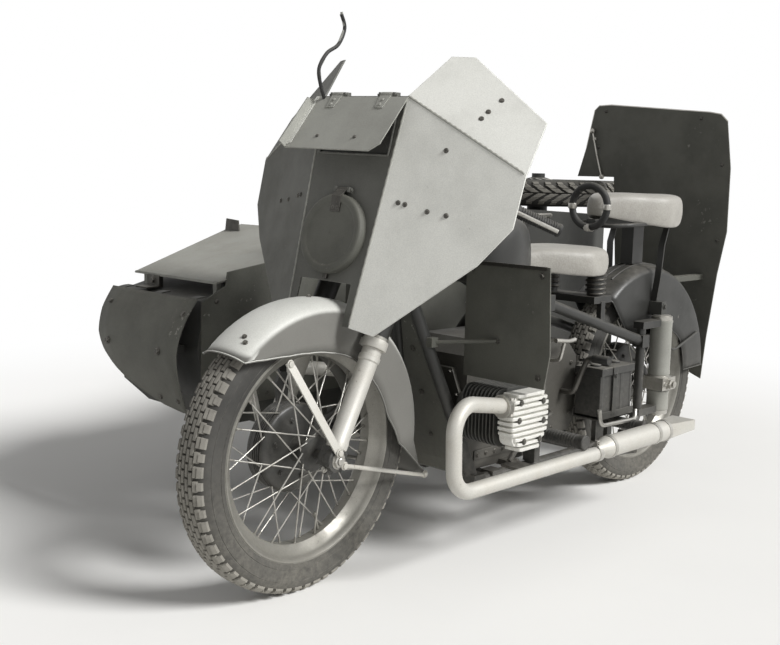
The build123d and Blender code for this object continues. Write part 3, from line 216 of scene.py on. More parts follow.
def between(rows: Sequence[tuple[float, float]], x: float) -> float:
    """Read a value off straight lines.

    Args:
        rows: (x, value) in order of x.
        x: where to read.

    Returns:
        The value there, or the end row's beyond the ends.
    """
    if x <= rows[0][0]:
        return rows[0][1]
    for (x0, v0), (x1, v1) in zip(rows, rows[1:]):
        if x <= x1:
            return v0 + (v1 - v0) * (x - x0) / (x1 - x0)
    return rows[-1][1]


# ------------------------------------------------------------------ finishes
def linear(colour: str, alpha: float = 1.0) -> tuple[float, float, float, float]:
    """Turn a colour to linear values.

    Args:
        colour: an sRGB hex colour.
        alpha: how opaque it is.

    Returns:
        Linear red, green and blue, and alpha.
    """
    parts = [int(colour[i:i + 2], 16) / 255 for i in (1, 3, 5)]
    made = [c / 12.92 if c <= 0.04045 else ((c + 0.055) / 1.055) ** 2.4 for c in parts]
    return (*made, alpha)


def add_node(tree: Tree, kind: str, settings: Optional[dict] = None, out: int | str = 0,
             **inputs) -> Optional[Socket]:
    """Add a node with its settings and what feeds it.

    Args:
        tree: the material's or world's tree.
        kind: Blender's name for the node, without its first part.
        settings: attributes of the node.
        out: which output to give back, by number or name.
        inputs: a value or an output for each input, by name with _ for a space, or i and its number.

    Returns:
        That output, or None where the node has none.
    """
    made = tree.nodes.new(f"ShaderNode{kind}")
    for name, value in (settings or {}).items():
        setattr(made, name, value)
    for name, value in inputs.items():
        numbered = name[0] == "i" and name[1:].isdigit()
        socket = made.inputs[int(name[1:])] if numbered else made.inputs[name.replace("_", " ")]
        if isinstance(value, Socket):
            tree.links.new(value, socket)
        else:
            socket.default_value = value
    return made.outputs[out] if made.outputs else None


class Grain(Enum):
    """How a surface's fine relief lies."""

    SPECKLED = "speckled"  # brushed paint, sand casting, rubber
    PEBBLED = "pebbled"  # hide and leathercloth
    DRAWN = "drawn"  # bar and tube, drawn along their length


DUST_ROUGHNESS = 0.92
ROUGHNESS_SPREAD = 0.1  # from patch to patch, either way


@dataclass(frozen=True)
class Finish:
    """A surface as it was made, and as use and weather left it; some are darker copies that paint in shade.

    Colours are sRGB hex, lengths are millimetres, and shares run from 0 to 1.
    """

    name: str
    colour: str
    rubbed: str  # what shows where edges are rubbed and chipped
    patch: str  # the stain in large soft patches
    dust: str = "#a8a49a"
    metallic: float = 0.0
    rubbed_metal: float = 0.0
    roughness: float = 0.62
    patch_mm: float = 170.0
    patch_share: float = 0.5
    grain: Grain = Grain.SPECKLED
    grain_mm: float = 2.5
    grain_mix: float = 0.12
    relief_mm: float = 0.12
    edge_mm: float = 2.5
    edge_share: float = 0.5
    chip_mm: float = 14.0
    chip_share: float = 0.2
    dust_share: float = 0.35
    soil_share: float = 0.4
    soil_mm: tuple[float, float] = (500.0, 50.0)  # heights where road soil starts and is thickest
    upright_dark_share: float = 0.0  # a darker film on upright faces
    sheen: float = 0.0

    def material(self) -> bpy.types.Material:
        """Make the finish's material once, with its stains, rubbed edges, dust and relief.

        Returns:
            The material.
        """
        known = bpy.data.materials.get(self.name)
        if known:
            return known
        made = bpy.data.materials.new(self.name)
        made.use_nodes = True
        tree = made.node_tree
        shader = tree.nodes["Principled BSDF"]
        where = add_node(tree, "TexCoord", out="Object")
        patches = add_node(tree, "TexNoise", Vector=where, Scale=1 / (self.patch_mm * MM), Detail=6.0,
                           Roughness=0.62)
        chips = add_node(tree, "TexNoise", Vector=where, Scale=1 / (self.chip_mm * MM), Detail=4.0,
                         Roughness=0.7)
        grain = self.relief(tree, where)
        colour = self.stained(tree, patches, grain)
        rubbed = self.rubbed_share(tree, patches, chips)
        dusty = self.dusted_share(tree, where, patches, chips)
        for share, over in ((rubbed, self.rubbed), (dusty, self.dust)):
            colour = add_node(tree, "Mix", {"data_type": "RGBA"}, out=2, i0=share, i6=colour, i7=linear(over))
        tree.links.new(colour, shader.inputs["Base Color"])
        rough = add_node(tree, "MapRange", i0=patches, i1=0.3, i2=0.7, i3=self.roughness - ROUGHNESS_SPREAD,
                         i4=self.roughness + ROUGHNESS_SPREAD)
        rough = add_node(tree, "Mix", i0=dusty, i2=rough, i3=DUST_ROUGHNESS)
        tree.links.new(rough, shader.inputs["Roughness"])
        if self.rubbed_metal > 0 or self.metallic > 0:
            bare = add_node(tree, "Mix", i0=rubbed, i2=self.metallic,
                            i3=max(self.rubbed_metal, self.metallic))
            bright = add_node(tree, "Mix", i0=dusty, i2=bare, i3=0.0)
            tree.links.new(bright, shader.inputs["Metallic"])
        height = add_node(tree, "Math", {"operation": "MULTIPLY_ADD"}, i0=rubbed, i1=-0.6, i2=grain)
        normal = add_node(tree, "Bump", Height=height, Distance=self.relief_mm * MM, Strength=0.8)
        tree.links.new(normal, shader.inputs["Normal"])
        shader.inputs["Sheen Weight"].default_value = self.sheen
        return made

    def relief(self, tree: Tree, where: Socket) -> Socket:
        """Add the fine relief.

        Args:
            tree: the material's tree.
            where: the place on the piece.

        Returns:
            The relief's height, from 0 to 1.
        """
        scale = 1 / (self.grain_mm * MM)
        if self.grain is Grain.PEBBLED:
            cells = add_node(tree, "TexVoronoi", {"feature": "SMOOTH_F1"}, Vector=where, Scale=scale)
            return add_node(tree, "Math", {"operation": "SUBTRACT"}, i0=1.0, i1=cells)
        if self.grain is Grain.DRAWN:
            where = add_node(tree, "Mapping", i0=where, i3=(0.08, 1.0, 0.5))
        return add_node(tree, "TexNoise", Vector=where, Scale=scale, Detail=3.0)

    def stained(self, tree: Tree, patches: Socket, grain: Socket) -> Socket:
        """Lay soft patches and fine mottle over the body colour.

        Args:
            tree: the material's tree.
            patches: large soft noise.
            grain: the relief's height.

        Returns:
            The colour.
        """
        share = add_node(tree, "MapRange", {"interpolation_type": "SMOOTHSTEP"}, i0=patches, i1=0.38, i2=0.68,
                         i3=0.0, i4=self.patch_share)
        colour = add_node(tree, "Mix", {"data_type": "RGBA"}, out=2, i0=share, i6=linear(self.colour),
                          i7=linear(self.patch))
        mottle = add_node(tree, "MapRange", i0=grain, i1=0.2, i2=0.8, i3=1 - self.grain_mix,
                          i4=1 + self.grain_mix)
        tone = add_node(tree, "CombineColor", i0=mottle, i1=mottle, i2=mottle)
        return add_node(tree, "Mix", {"data_type": "RGBA", "blend_type": "MULTIPLY"}, out=2, i0=1.0,
                        i6=colour, i7=tone)

    def rubbed_share(self, tree: Tree, patches: Socket, chips: Socket) -> Socket:
        """Find how far the coat is gone, along edges and in small chips.

        Args:
            tree: the material's tree.
            patches: large soft noise.
            chips: noise as fine as the chips.

        Returns:
            The share, from 0 to 1.
        """
        face = add_node(tree, "NewGeometry", out="Normal")
        soft = add_node(tree, "Bevel", {"samples": 4}, Radius=self.edge_mm * MM)
        same = add_node(tree, "VectorMath", {"operation": "DOT_PRODUCT"}, out="Value", i0=face, i1=soft)
        edge = add_node(tree, "MapRange", i0=same, i1=0.995, i2=0.9, i3=0.0, i4=1.0)
        broken = add_node(tree, "MapRange", i0=chips, i1=0.42, i2=0.6, i3=0.15, i4=1.0)
        for share in (broken, self.edge_share):
            edge = add_node(tree, "Math", {"operation": "MULTIPLY"}, i0=edge, i1=share)
        both = add_node(tree, "Math", {"operation": "MULTIPLY"}, i0=patches, i1=chips)
        start = 0.42 - self.chip_share * 0.16
        spots = add_node(tree, "MapRange", i0=both, i1=start, i2=start + 0.03, i3=0.0,
                         i4=min(1.0, self.chip_share * 3))
        return add_node(tree, "Math", {"operation": "MAXIMUM"}, i0=edge, i1=spots)

    def dusted_share(self, tree: Tree, where: Socket, patches: Socket, chips: Socket) -> Socket:
        """Find how thick dust lies on what faces up, and soil thrown up from the road.

        Args:
            tree: the material's tree.
            where: the place on the piece.
            patches: large soft noise.
            chips: noise as fine as the chips.

        Returns:
            The share, from 0 to 1.
        """
        facing = add_node(tree, "SeparateXYZ", out="Z", i0=add_node(tree, "NewGeometry", out="Normal"))
        level = add_node(tree, "MapRange", i0=facing, i1=0.25, i2=1.0, i3=0.0, i4=self.dust_share)
        height = add_node(tree, "SeparateXYZ", out="Z", i0=where)
        high, low = self.soil_mm
        soil = add_node(tree, "MapRange", i0=height, i1=high * MM, i2=low * MM, i3=0.0, i4=self.soil_share)
        both = add_node(tree, "Math", {"operation": "MAXIMUM"}, i0=level, i1=soil)
        cloud = add_node(tree, "Math", {"operation": "MULTIPLY"}, i0=patches, i1=chips)
        cloud = add_node(tree, "MapRange", i0=cloud, i1=0.14, i2=0.38, i3=0.2, i4=1.0)
        dusty = add_node(tree, "Math", {"operation": "MULTIPLY"}, i0=both, i1=cloud)
        if not self.upright_dark_share:
            return dusty
        # Upright faces are darkened, more the straighter they stand.
        upright_dark = add_node(tree, "MapRange", {"interpolation_type": "SMOOTHSTEP"}, i0=facing, i1=0.6, i2=0.1,
                        i3=0.0, i4=self.upright_dark_share)
        return add_node(tree, "Math", {"operation": "MAXIMUM"}, i0=dusty, i1=upright_dark)


# Matt alkyd paint, brushed over rolled plate: flat, pale and faintly cloudy, chipped dark at the edges
SHIELD_PAINT = Finish("matt_alkyd_paint_pale", "#d6d6d0", "#5b5a56", "#bebeb8", roughness=0.6,
                      patch_share=0.55, chip_share=0.12, edge_share=0.65)
# The same paint made a step darker as painted half shade, on the vision flap and the shield's weld seams
HALF_SHADED_PAINT = Finish("matt_alkyd_paint_painted_half_shade", "#9b9b94", "#4c4b47", "#878781", roughness=0.62,
                     patch_share=0.6, chip_share=0.15, edge_share=0.7, dust_share=0.2)
# The same paint made darker as painted shade, on the shield's centre and right plates and the window rim
SHADED_SHIELD_PAINT = Finish("matt_alkyd_paint_painted_shade", "#5c5c57", "#a3a29b", "#4c4c47", roughness=0.66,
                      patch_share=0.6, chip_share=0.1, edge_share=0.6, dust_share=0.2)
# Pale paint of the front mudguard, its upright sides darker than its crown
GUARD_PAINT = Finish("matt_alkyd_paint_dark_sided", "#c6c6c0", "#5b5a56", "#b4b4ae", dust="#4e4c47",
                     roughness=0.5, patch_share=0.5, chip_share=0.12, dust_share=0.0, soil_share=0.2,
                     upright_dark_share=0.84)
# The same paint made dark as painted shade on the plates that face forward, away from the light: dull and grimy
SHADED_PLATE_PAINT = Finish("matt_alkyd_paint_plate_shade", "#56564f", "#8d8b84", "#44443f", roughness=0.66,
                     patch_share=0.6, dust="#8f8b80", dust_share=0.3, edge_share=0.4)
# The middle mix of the paint, on the sidecar's sheet and the mudguards
BODY_PAINT = Finish("matt_alkyd_paint_middle", "#8e8e87", "#4c4b47", "#7a7a74", roughness=0.6,
                    patch_share=0.6, edge_share=0.5)
# Grimy black cast iron and dark fittings: dull, with grey dust in the hollows. On the sidecar's tub and in the
# frame behind the vision opening the same black is painted shade
DARK_PAINT = Finish("bitumen_black_paint_and_painted_shade", "#3a3a37", "#6d6b66", "#2c2c2a", roughness=0.6, dust="#77736a",
                    dust_share=0.3, soil_share=0.35, patch_share=0.7)
# Grey stoving enamel of the rims, scuffed and splashed
RIM_ENAMEL = Finish("stoved_enamel_grey", "#8b8982", "#5e5c57", "#73716a", metallic=0.5, roughness=0.38,
                    patch_mm=60.0, dust="#7d796f", dust_share=0.25, soil_share=0.3, chip_share=0.3)
# Stoved black enamel on tubes and castings: it shines where it is clean and is grey with road dust
FRAME_ENAMEL = Finish("stoved_enamel_black", "#2c2c2a", "#77756f", "#232321", roughness=0.42, patch_mm=90.0,
                      dust="#87837a", dust_share=0.45, soil_share=0.5)
# Drawn steel bar, oiled: bright lines along its length, brown in the hollows
BRIGHT_STEEL = Finish("drawn_steel", "#b9b7b1", "#d4d2cc", "#8a867d", metallic=0.85, rubbed_metal=1.0,
                      roughness=0.34, grain=Grain.DRAWN, grain_mm=3.0, patch_mm=60.0, dust_share=0.3,
                      soil_share=0.35)
# Zinc-coated fasteners gone dull and dark
DARK_STEEL = Finish("blackened_steel", "#4a4844", "#9a978f", "#35332f", metallic=0.7, rubbed_metal=1.0,
                    roughness=0.45, patch_mm=25.0, grain_mm=2.0)
# Sand-cast aluminium: a coarse pale skin with dark oil in its grain
CAST_ALLOY = Finish("sand_cast_aluminium", "#dcdbd5", "#efeee8", "#b4b2aa", metallic=0.25, rubbed_metal=0.6,
                    roughness=0.5, grain_mm=3.2, relief_mm=0.3, grain_mix=0.14, patch_mm=70.0,
                    soil_share=0.15)
# The same casting made dark, with worn grey edges
DARK_ALLOY = Finish("dark_cast_aluminium", "#4b4944", "#8d8b85", "#34332f", metallic=0.2, rubbed_metal=0.5,
                     roughness=0.5, grain_mm=3.2, relief_mm=0.3, grain_mix=0.16, patch_mm=80.0,
                     dust="#6f6b62", soil_share=0.3)
# Steel pipe under heat-proof aluminium paint: dull silver, browned by the heat
PIPE_STEEL = Finish("aluminium_painted_pipe", "#bfbdb6", "#857f74", "#b5b1a7", metallic=0.3, rubbed_metal=0.4,
                    roughness=0.5, grain_mm=2.2, patch_mm=80.0, chip_share=0.25, soil_share=0.2)
# Moulded tyre rubber: dead black in the grooves, grey with dust on the blocks
TYRE_RUBBER = Finish("moulded_tyre_rubber", "#3b3a37", "#565450", "#232221", roughness=0.82, dust="#8e8a80",
                     patch_mm=120.0, grain_mm=1.8, edge_share=0.5, dust_share=0.3, soil_share=0.42,
                     chip_share=0.05)
# Worn block tops: rubber scrubbed pale by the road
TREAD_RUBBER = Finish("scrubbed_tread_rubber", "#7d7a73", "#8d8a82", "#4f4d48", roughness=0.88,
                      dust="#a8a499", patch_mm=60.0, grain_mm=1.6, edge_share=0.35, soil_share=0.5,
                      chip_share=0.1)
# Ribbed moulded rubber of grips and pegs
BLACK_RUBBER = Finish("moulded_black_rubber", "#232322", "#4b4a47", "#1b1b1a", roughness=0.68, patch_mm=50.0,
                      dust_share=0.35)
# Thick saddle hide, greased and sat on: pebbled, pale on the crown and dark at the welt
SADDLE_HIDE = Finish("saddle_hide", "#9f9c95", "#b9b6ae", "#807d76", roughness=0.5, grain=Grain.PEBBLED,
                     grain_mm=4.5, relief_mm=0.5, grain_mix=0.07, patch_mm=110.0, edge_share=0.25,
                     chip_share=0.0, soil_share=0.0, sheen=0.15)
# Leathercloth of the sidecar's seat: dark, fine-grained, with a dull shine
SEAT_CLOTH = Finish("leathercloth", "#4b453d", "#76706a", "#3a352f", roughness=0.48, grain=Grain.PEBBLED,
                    grain_mm=3.5, relief_mm=0.3, patch_mm=130.0, chip_share=0.0, soil_share=0.0, sheen=0.1)
# Hard rubber battery case: smooth, black and dusty on top
BATTERY_CASE = Finish("hard_rubber_case", "#292928", "#5a5855", "#1f1f1e", roughness=0.5, dust_share=0.5)
# Pressed lamp glass over a silvered bowl: bright and smooth
LAMP_GLASS = Finish("pressed_lamp_glass", "#dfe0dc", "#eeeeea", "#c4c5c0", metallic=0.35, roughness=0.18,
                    patch_mm=40.0, patch_share=0.3, chip_share=0.0, edge_share=0.0, dust_share=0.15,
                    soil_share=0.0)


# ------------------------------------------------------------------ making pieces
LEAST_R = 0.05  # a turned shape ends in a tiny flat, not a point
BEVEL_SPANS = 2
EDGE_ANGLE = 32.0  # degrees: faces that meet at less look like one curve


def soften(shown: bpy.types.Object, width: float, angle: float, harden: bool) -> None:
    """Round an object's edges with a modifier.

    Args:
        shown: the object.
        width: how wide the round is.
        angle: edges that turn by more than this many degrees are rounded.
        harden: whether its flat faces keep flat shading.
    """
    edges = shown.modifiers.new("edges", "BEVEL")
    edges.width, edges.segments, edges.limit_method = width * MM, BEVEL_SPANS, "ANGLE"
    edges.angle_limit, edges.harden_normals = radians(angle), harden


@dataclass
class Workpiece:
    """The shapes of one piece, gathered in millimetres and then made into one mesh."""

    name: str
    verts: Ring = field(default_factory=list)
    faces: list[tuple[int, ...]] = field(default_factory=list)

    def skin(self, rings: Sequence[Sequence[Vector]], closed: bool = True, loop: bool = False,
             caps: bool = True) -> "Workpiece":
        """Join rings of points, each to the next.

        Args:
            rings: rings with the same number of points.
            closed: whether a ring's last point joins its first.
            loop: whether the last ring joins the first.
            caps: whether the end rings are filled.

        Returns:
            The workpiece.
        """
        count, size, base = len(rings), len(rings[0]), len(self.verts)
        self.verts.extend(Vector(p) for ring in rings for p in ring)
        for i in range(count if loop else count - 1):
            here, there = base + i * size, base + (i + 1) % count * size
            for j in range(size if closed else size - 1):
                k = (j + 1) % size
                self.faces.append((here + j, here + k, there + k, there + j))
        if caps and closed and not loop:
            self.faces.append(tuple(base + j for j in reversed(range(size))))
            self.faces.append(tuple(base + (count - 1) * size + j for j in range(size)))
        return self

    def bar(self, points: Sequence[Point], radius: float, sides: int = 14, loop: bool = False,
            radii: Optional[Sequence[float]] = None) -> "Workpiece":
        """A round bar along a line.

        Args:
            points: the line.
            radius: the bar's radius.
            sides: faces round the bar.
            loop: whether it closes on itself.
            radii: a radius for each point, where it changes.

        Returns:
            The workpiece.
        """
        line = [Vector(p) for p in points]
        count = len(line)
        rings: list[Ring] = []
        normal: Optional[Vector] = None
        for i, place in enumerate(line):
            before = line[(i - 1) % count] if loop or i else place
            after = line[(i + 1) % count] if loop or i < count - 1 else place
            run = (after - before).normalized()
            if normal is None:
                normal = basis(run)[0]
            normal = (normal - run * normal.dot(run)).normalized()
            side = run.cross(normal)
            reach = radii[i] if radii else radius
            rings.append(circle(place, normal, side, reach, sides))
        return self.skin(rings, loop=loop)

    def turned(self, centre: Point, axis: Point, profile: Sequence[tuple[float, float]],
               sides: int = 32) -> "Workpiece":
        """A turned shape with flat ends.

        Args:
            centre: where the profile's heights start.
            axis: the way the heights run.
            profile: (radius, height) from one end to the other.
            sides: faces round it, six for a hexagon.

        Returns:
            The workpiece.
        """
        axis = Vector(axis).normalized()
        first, second = basis(axis)
        return self.skin([circle(Vector(centre) + axis * height, first, second, max(radius, LEAST_R), sides)
                          for radius, height in profile])

    def lathe(self, centre: Point, axis: Point, outline: Sequence[tuple[float, float]],
              sides: int = 96) -> "Workpiece":
        """A ring whose section is a closed outline.

        Args:
            centre: the ring's centre.
            axis: the ring's axis.
            outline: closed (radius, along) outline.
            sides: spans round the ring.

        Returns:
            The workpiece.
        """
        axis = Vector(axis).normalized()
        first, second = basis(axis)
        rings = [[Vector(centre) + out * radius + axis * along for radius, along in outline]
                 for out in circle(Vector(), first, second, 1.0, sides)]
        return self.skin(rings, loop=True)

    def slab(self, outline: Iterable[Point], push: Point) -> "Workpiece":
        """A flat outline pushed along a vector."""
        start = [Vector(p) for p in outline]
        return self.skin([start, [p + Vector(push) for p in start]])

    def strap(self, points: Sequence[Point], width: float, thick: float, face: Point) -> "Workpiece":
        """A flat bar along a line.

        Args:
            points: the line along its middle.
            width: how broad it is.
            thick: how thick it is.
            face: the way its broad side looks.

        Returns:
            The workpiece.
        """
        line, face = [Vector(p) for p in points], Vector(face).normalized()
        rings = []
        for i, place in enumerate(line):
            run = (line[min(i + 1, len(line) - 1)] - line[max(i - 1, 0)]).normalized()
            side = run.cross(face).normalized()
            out = side.cross(run)
            rings.append([place + side * width / 2 * a + out * thick / 2 * b for a,
                          b in ((-1, -1), (1, -1), (1, 1), (-1, 1))])
        return self.skin(rings)

    def block(self, low: Point, high: Point) -> "Workpiece":
        """A square block between two corners."""
        (x0, y0, z0), (x1, y1, z1) = low, high
        return self.slab([(x0, y0, z0), (x1, y0, z0), (x1, y1, z0), (x0, y1, z0)], (0, 0, z1 - z0))

    def bolt(self, place: Point, out: Point, across: float = 13.0, head: float = 6.0) -> "Workpiece":
        """A hexagon head with its chamfer, on a washer.

        Args:
            place: the middle of its seat.
            out: the way it points.
            across: its width over the flats.
            head: how high it stands.

        Returns:
            The workpiece.
        """
        radius = across / 2 * 1.15
        self.turned(place, out, [(radius * 1.3, -1), (radius * 1.3, 1.2), (radius * 1.2, 1.6)], 20)
        return self.turned(place, out, [(radius, 1), (radius, head - 1.2), (radius * 0.86, head)], 6)

    def rivet(self, place: Point, out: Point, radius: float = 6.0) -> "Workpiece":
        """A domed rivet head.

        Args:
            place: the middle of its seat.
            out: the way it points.
            radius: its radius.

        Returns:
            The workpiece.
        """
        foot = [(radius, -1), (radius, 0.5)]
        dome = [(radius * r, radius * h) for r, h in ((0.86, 0.4), (0.5, 0.62), (0.1, 0.7))]
        return self.turned(place, out, foot + dome, 18)

    def mirror_too(self) -> "Workpiece":
        """Add the mirror image across the motorcycle's centre plane.

        Returns:
            The workpiece.
        """
        base = len(self.verts)
        self.verts.extend(mirrored_points(self.verts[:base]))
        self.faces.extend(tuple(base + i for i in reversed(face)) for face in list(self.faces))
        return self

    def make(self, body: str, finish: Finish, smooth: float = EDGE_ANGLE, bevel: float = 0.0, sheet: float = 0.0,
             rounds: int = 0, slot: Optional[str] = None, replaces: Sequence[str] = ()) -> bpy.types.Object:
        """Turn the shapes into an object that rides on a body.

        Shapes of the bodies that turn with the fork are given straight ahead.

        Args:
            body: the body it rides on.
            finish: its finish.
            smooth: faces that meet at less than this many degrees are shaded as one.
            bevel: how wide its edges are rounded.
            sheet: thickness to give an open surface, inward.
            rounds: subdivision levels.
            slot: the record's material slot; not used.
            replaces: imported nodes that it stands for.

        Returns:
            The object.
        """
        turn = STEERED if body in TURNED_BODIES else Matrix.Identity(4)
        mesh = bpy.data.meshes.new(self.name)
        mesh.from_pydata([ORIGIN + (turn @ v) * MM for v in self.verts], [], self.faces)
        shape = bmesh.new()
        shape.from_mesh(mesh)
        bmesh.ops.remove_doubles(shape, verts=shape.verts, dist=0.02 * MM)
        bmesh.ops.recalc_face_normals(shape, faces=shape.faces)
        shape.to_mesh(mesh)
        shape.free()
        mesh.materials.append(finish.material())
        mesh.shade_smooth()
        mesh.set_sharp_from_angle(angle=radians(smooth))
        made = bpy.data.objects.new(self.name, mesh)
        bpy.context.scene.collection.objects.link(made)
        if rounds:
            subdivision = made.modifiers.new("rounding", "SUBSURF")
            subdivision.levels = subdivision.render_levels = rounds
        if sheet:
            thick = made.modifiers.new("sheet", "SOLIDIFY")
            thick.thickness, thick.offset = abs(sheet) * MM, -1.0 if sheet > 0 else 1.0
        if bevel:
            soften(made, bevel, smooth, True)
        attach(made, body)
        if replaces:
            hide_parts(*replaces)
        LOG.info("%s: %d faces, rides on %s", self.name, len(mesh.polygons), body)
        return made


def dress(node: str, finish: Finish, bevel: float = 0.8) -> None:
    """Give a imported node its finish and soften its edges.

    Args:
        node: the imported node's name.
        finish: its finish.
        bevel: how wide its edges are rounded.
    """
    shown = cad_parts[node]
    shown.data.materials.clear()
    shown.data.materials.append(finish.material())
    if bevel:
        soften(shown, bevel, EDGE_ANGLE, False)
    LOG.info("%s: finished as %s", node, finish.name)


# ------------------------------------------------------------------ wheels
class Tread(Enum):
    """The pattern moulded into a tyre."""

    BRICK = "brick"  # staggered small blocks and shoulder lugs
    CHEVRON = "chevron"  # bars that meet in arrows


@dataclass
class SpokedWheel:
    """A wire wheel with its tyre, hub and brake drum."""

    place: str  # first word of its nodes' names
    centre: Vector
    body: str
    axis: Vector = field(default_factory=lambda: ACROSS.copy())
    tread: Tread = Tread.BRICK
    hub_left: float = 56.0
    hub_flange_r: float = 44.0
    hub_flange_in: float = 42.0
    drum_r: float = 108.0
    drum_in: float = -12.0
    spoke_d: float = 4.0
    spokes_a_side: int = 20
    well_r: float = 222.0
    valve_turn: float = radians(252)
    spans: int = 128
    carcass: tuple = ((252, 30), (255, 37), (262, 41.5), (266, 43.6), (270, 44.6), (285, 47.6), (300, 48.6),
                      (312, 47), (320, 43), (326, 37), (331, 26), (333, 12))

    def across(self) -> tuple[Vector, Vector]:
        """The wheel's forward and upward directions."""
        return (AHEAD, UP) if self.axis.z < 0.5 else (AHEAD, -ACROSS)

    def point(self, radius: float, angle: float, along: float) -> Vector:
        """A point from its radius, its angle in radians and its distance along the axle."""
        ahead, upward = self.across()
        return self.centre + ahead * radius * cos(angle) + upward * radius * sin(angle) + self.axis * along

    def carcass_r(self, along: float) -> float:
        """The carcass's radius under the tread at a distance from the centre line."""
        return between([(abs(y), r) for r, y in reversed(self.carcass[6:])], abs(along))

    def make_tyre(self) -> None:
        """The carcass, ribbed near the bead, and its tread."""
        half = list(self.carcass)
        outline = half + [(r, -y) for r, y in reversed(half)]
        tyre = Workpiece(f"{self.place}_tyre_carcass").lathe(self.centre, self.axis, outline, self.spans)
        for side in (-1, 1):
            for radius, along in ((276, 46.2), (305, 48.2)):
                ring = [(radius - 1.6, side * (along - 1)), (radius, side * (along + 0.9)),
                        (radius + 1.6, side * (along - 1))]
                tyre.lathe(self.centre, self.axis, ring, self.spans)
        tyre.make(self.body, TYRE_RUBBER, 50, slot="tyre", replaces=[f"{self.place}_tyre"])
        tread = Workpiece(f"{self.place}_tyre_tread")
        (self.lay_bricks if self.tread is Tread.BRICK else self.lay_chevrons)(tread)
        tread.make(self.body, TREAD_RUBBER, 28, slot="tyre")

    def lug(self, tread: Workpiece, start: tuple[float, float], end: tuple[float, float],
            half: float) -> None:
        """One raised block between two (angle, along) places, some millimetres long each way.

        Args:
            tread: where it is added.
            start: (angle, along) of its inner edge.
            end: (angle, along) of its outer edge.
            half: half its length round the tyre.
        """
        rings = []
        for lift, inset in ((-1.0, 0.0), (5.6, 0.35), (6.8, 1.3)):
            ring = []
            for (angle, along), way in ((start, -1), (end, -1), (end, 1), (start, 1)):
                inward = inset if (angle, along) == start else -inset
                reach = (half - inset) * way / TYRE_R
                base = self.carcass_r(along)
                radius = min(base + lift, TYRE_R - 0.1)
                step = 1 if end[1] > start[1] else -1
                ring.append(self.point(radius, angle + reach, along + inward * step))
            rings.append(ring)
        tread.skin(rings)

    def lay_bricks(self, tread: Workpiece) -> None:
        """Four staggered rows of bricks, and lugs down both shoulders.

        Args:
            tread: where they are added.
        """
        count = 66
        pitch = 2 * pi / count
        rows = ((-17.0, 0.5), (-6.0, 0.0), (6.0, 0.5), (17.0, 0.0))
        for i in range(count):
            for along, shift in rows:
                angle = (i + shift) * pitch
                self.lug(tread, (angle, along - 4.7), (angle, along + 4.7), 14.2)
            for side in (-1, 1):
                angle = (i + (0.5 if side > 0 else 0.0)) * pitch
                self.lug(tread, (angle, side * 24.0), (angle, side * 33.0), 12.6)
                self.lug(tread, (angle, side * 33.4), (angle, side * 42.0), 9.5 if i % 2 else 12.6)

    def lay_chevrons(self, tread: Workpiece) -> None:
        """Slanting bars that meet in arrows along the middle.

        Args:
            tread: where they are added.
        """
        count = 46
        pitch = 2 * pi / count
        for i in range(count):
            for side in (-1, 1):
                angle = (i + (0.5 if side > 0 else 0.0)) * pitch
                for inner, outer, half in (((0.0, 2.0), (0.5, 17.0), 16.0),
                                           ((0.52, 17.4), (0.95, 31.0), 14.0),
                                           ((0.95, 31.4), (1.05, 41.5), 11.0)):
                    start, end = ((angle + pitch * lead, side * along) for lead, along in (inner, outer))
                    self.lug(tread, start, end, half)

    def make_rim(self) -> None:
        """The rolled rim with its lips and well, and the valve."""
        seen = [(262, 42), (260.5, 44.2), (257, 44), (254, 41), (250, 34), (246, 27), (232, 19), (225, 13),
                (224, 0)]
        seen += [(r, -y) for r, y in reversed(seen[:-1])]
        hidden = [(r + 2.4, y - (1.6 if y > 20 else -1.6 if y < -20 else 0)) for r, y in reversed(seen)]
        rim = Workpiece(f"{self.place}_rim").lathe(self.centre, self.axis, seen + hidden, 112)
        for side in (-1, 1):
            for i in range(self.spokes_a_side):
                inner, outer = self.spoke_ends(side, i)
                run = (inner - outer).normalized()
                rim.turned(outer + run * -1.5, run, [(4.4, 0), (4.2, 3), (2.9, 4), (2.7, 15), (1.9, 16.5)], 8)
        for outer, inner, radius in (((223, 0), (186, 2), 3.6), ((188, 2), (176, 2), 4.6)):
            rim.bar([self.point(r, self.valve_turn, along) for r, along in (outer, inner)], radius, 10)
        rim.make(self.body, RIM_ENAMEL, 40, slot="plain_steel")

    def spoke_ends(self, side: int, index: int) -> tuple[Vector, Vector]:
        """Where a spoke leaves the hub and where it meets the rim.

        Args:
            side: 1 for the small flange on the left, -1 for the drum.
            index: which spoke, odd ones lean the other way.

        Returns:
            Its inner and its outer end.
        """
        rim_angle = radians(360 / self.spokes_a_side * (index + (0.25 if side > 0 else 0.75)))
        odd = index % 2
        if side > 0:
            lean, inner_r = 62.0, self.hub_flange_r - 2
            inner_y = self.hub_left - self.spoke_d if odd else self.hub_flange_in + self.spoke_d
        else:
            lean, inner_r = 28.0, self.drum_r - 1
            inner_y = self.drum_in - self.spoke_d * (1 if odd else 3)
        hub_angle = rim_angle + radians(lean if odd else -lean)
        outer_y = side * self.spoke_d * (2.6 if odd == (side > 0) else 1.3)
        return self.point(inner_r, hub_angle, inner_y), self.point(self.well_r + 1, rim_angle, outer_y)

    def make_spokes(self) -> None:
        """Forty crossed spokes."""
        spokes = Workpiece(f"{self.place}_spokes")
        for side in (-1, 1):
            for i in range(self.spokes_a_side):
                inner, outer = self.spoke_ends(side, i)
                spokes.bar([inner, outer], 1.9, 8)
        spokes.make(self.body, BRIGHT_STEEL, 60, slot="plain_steel")

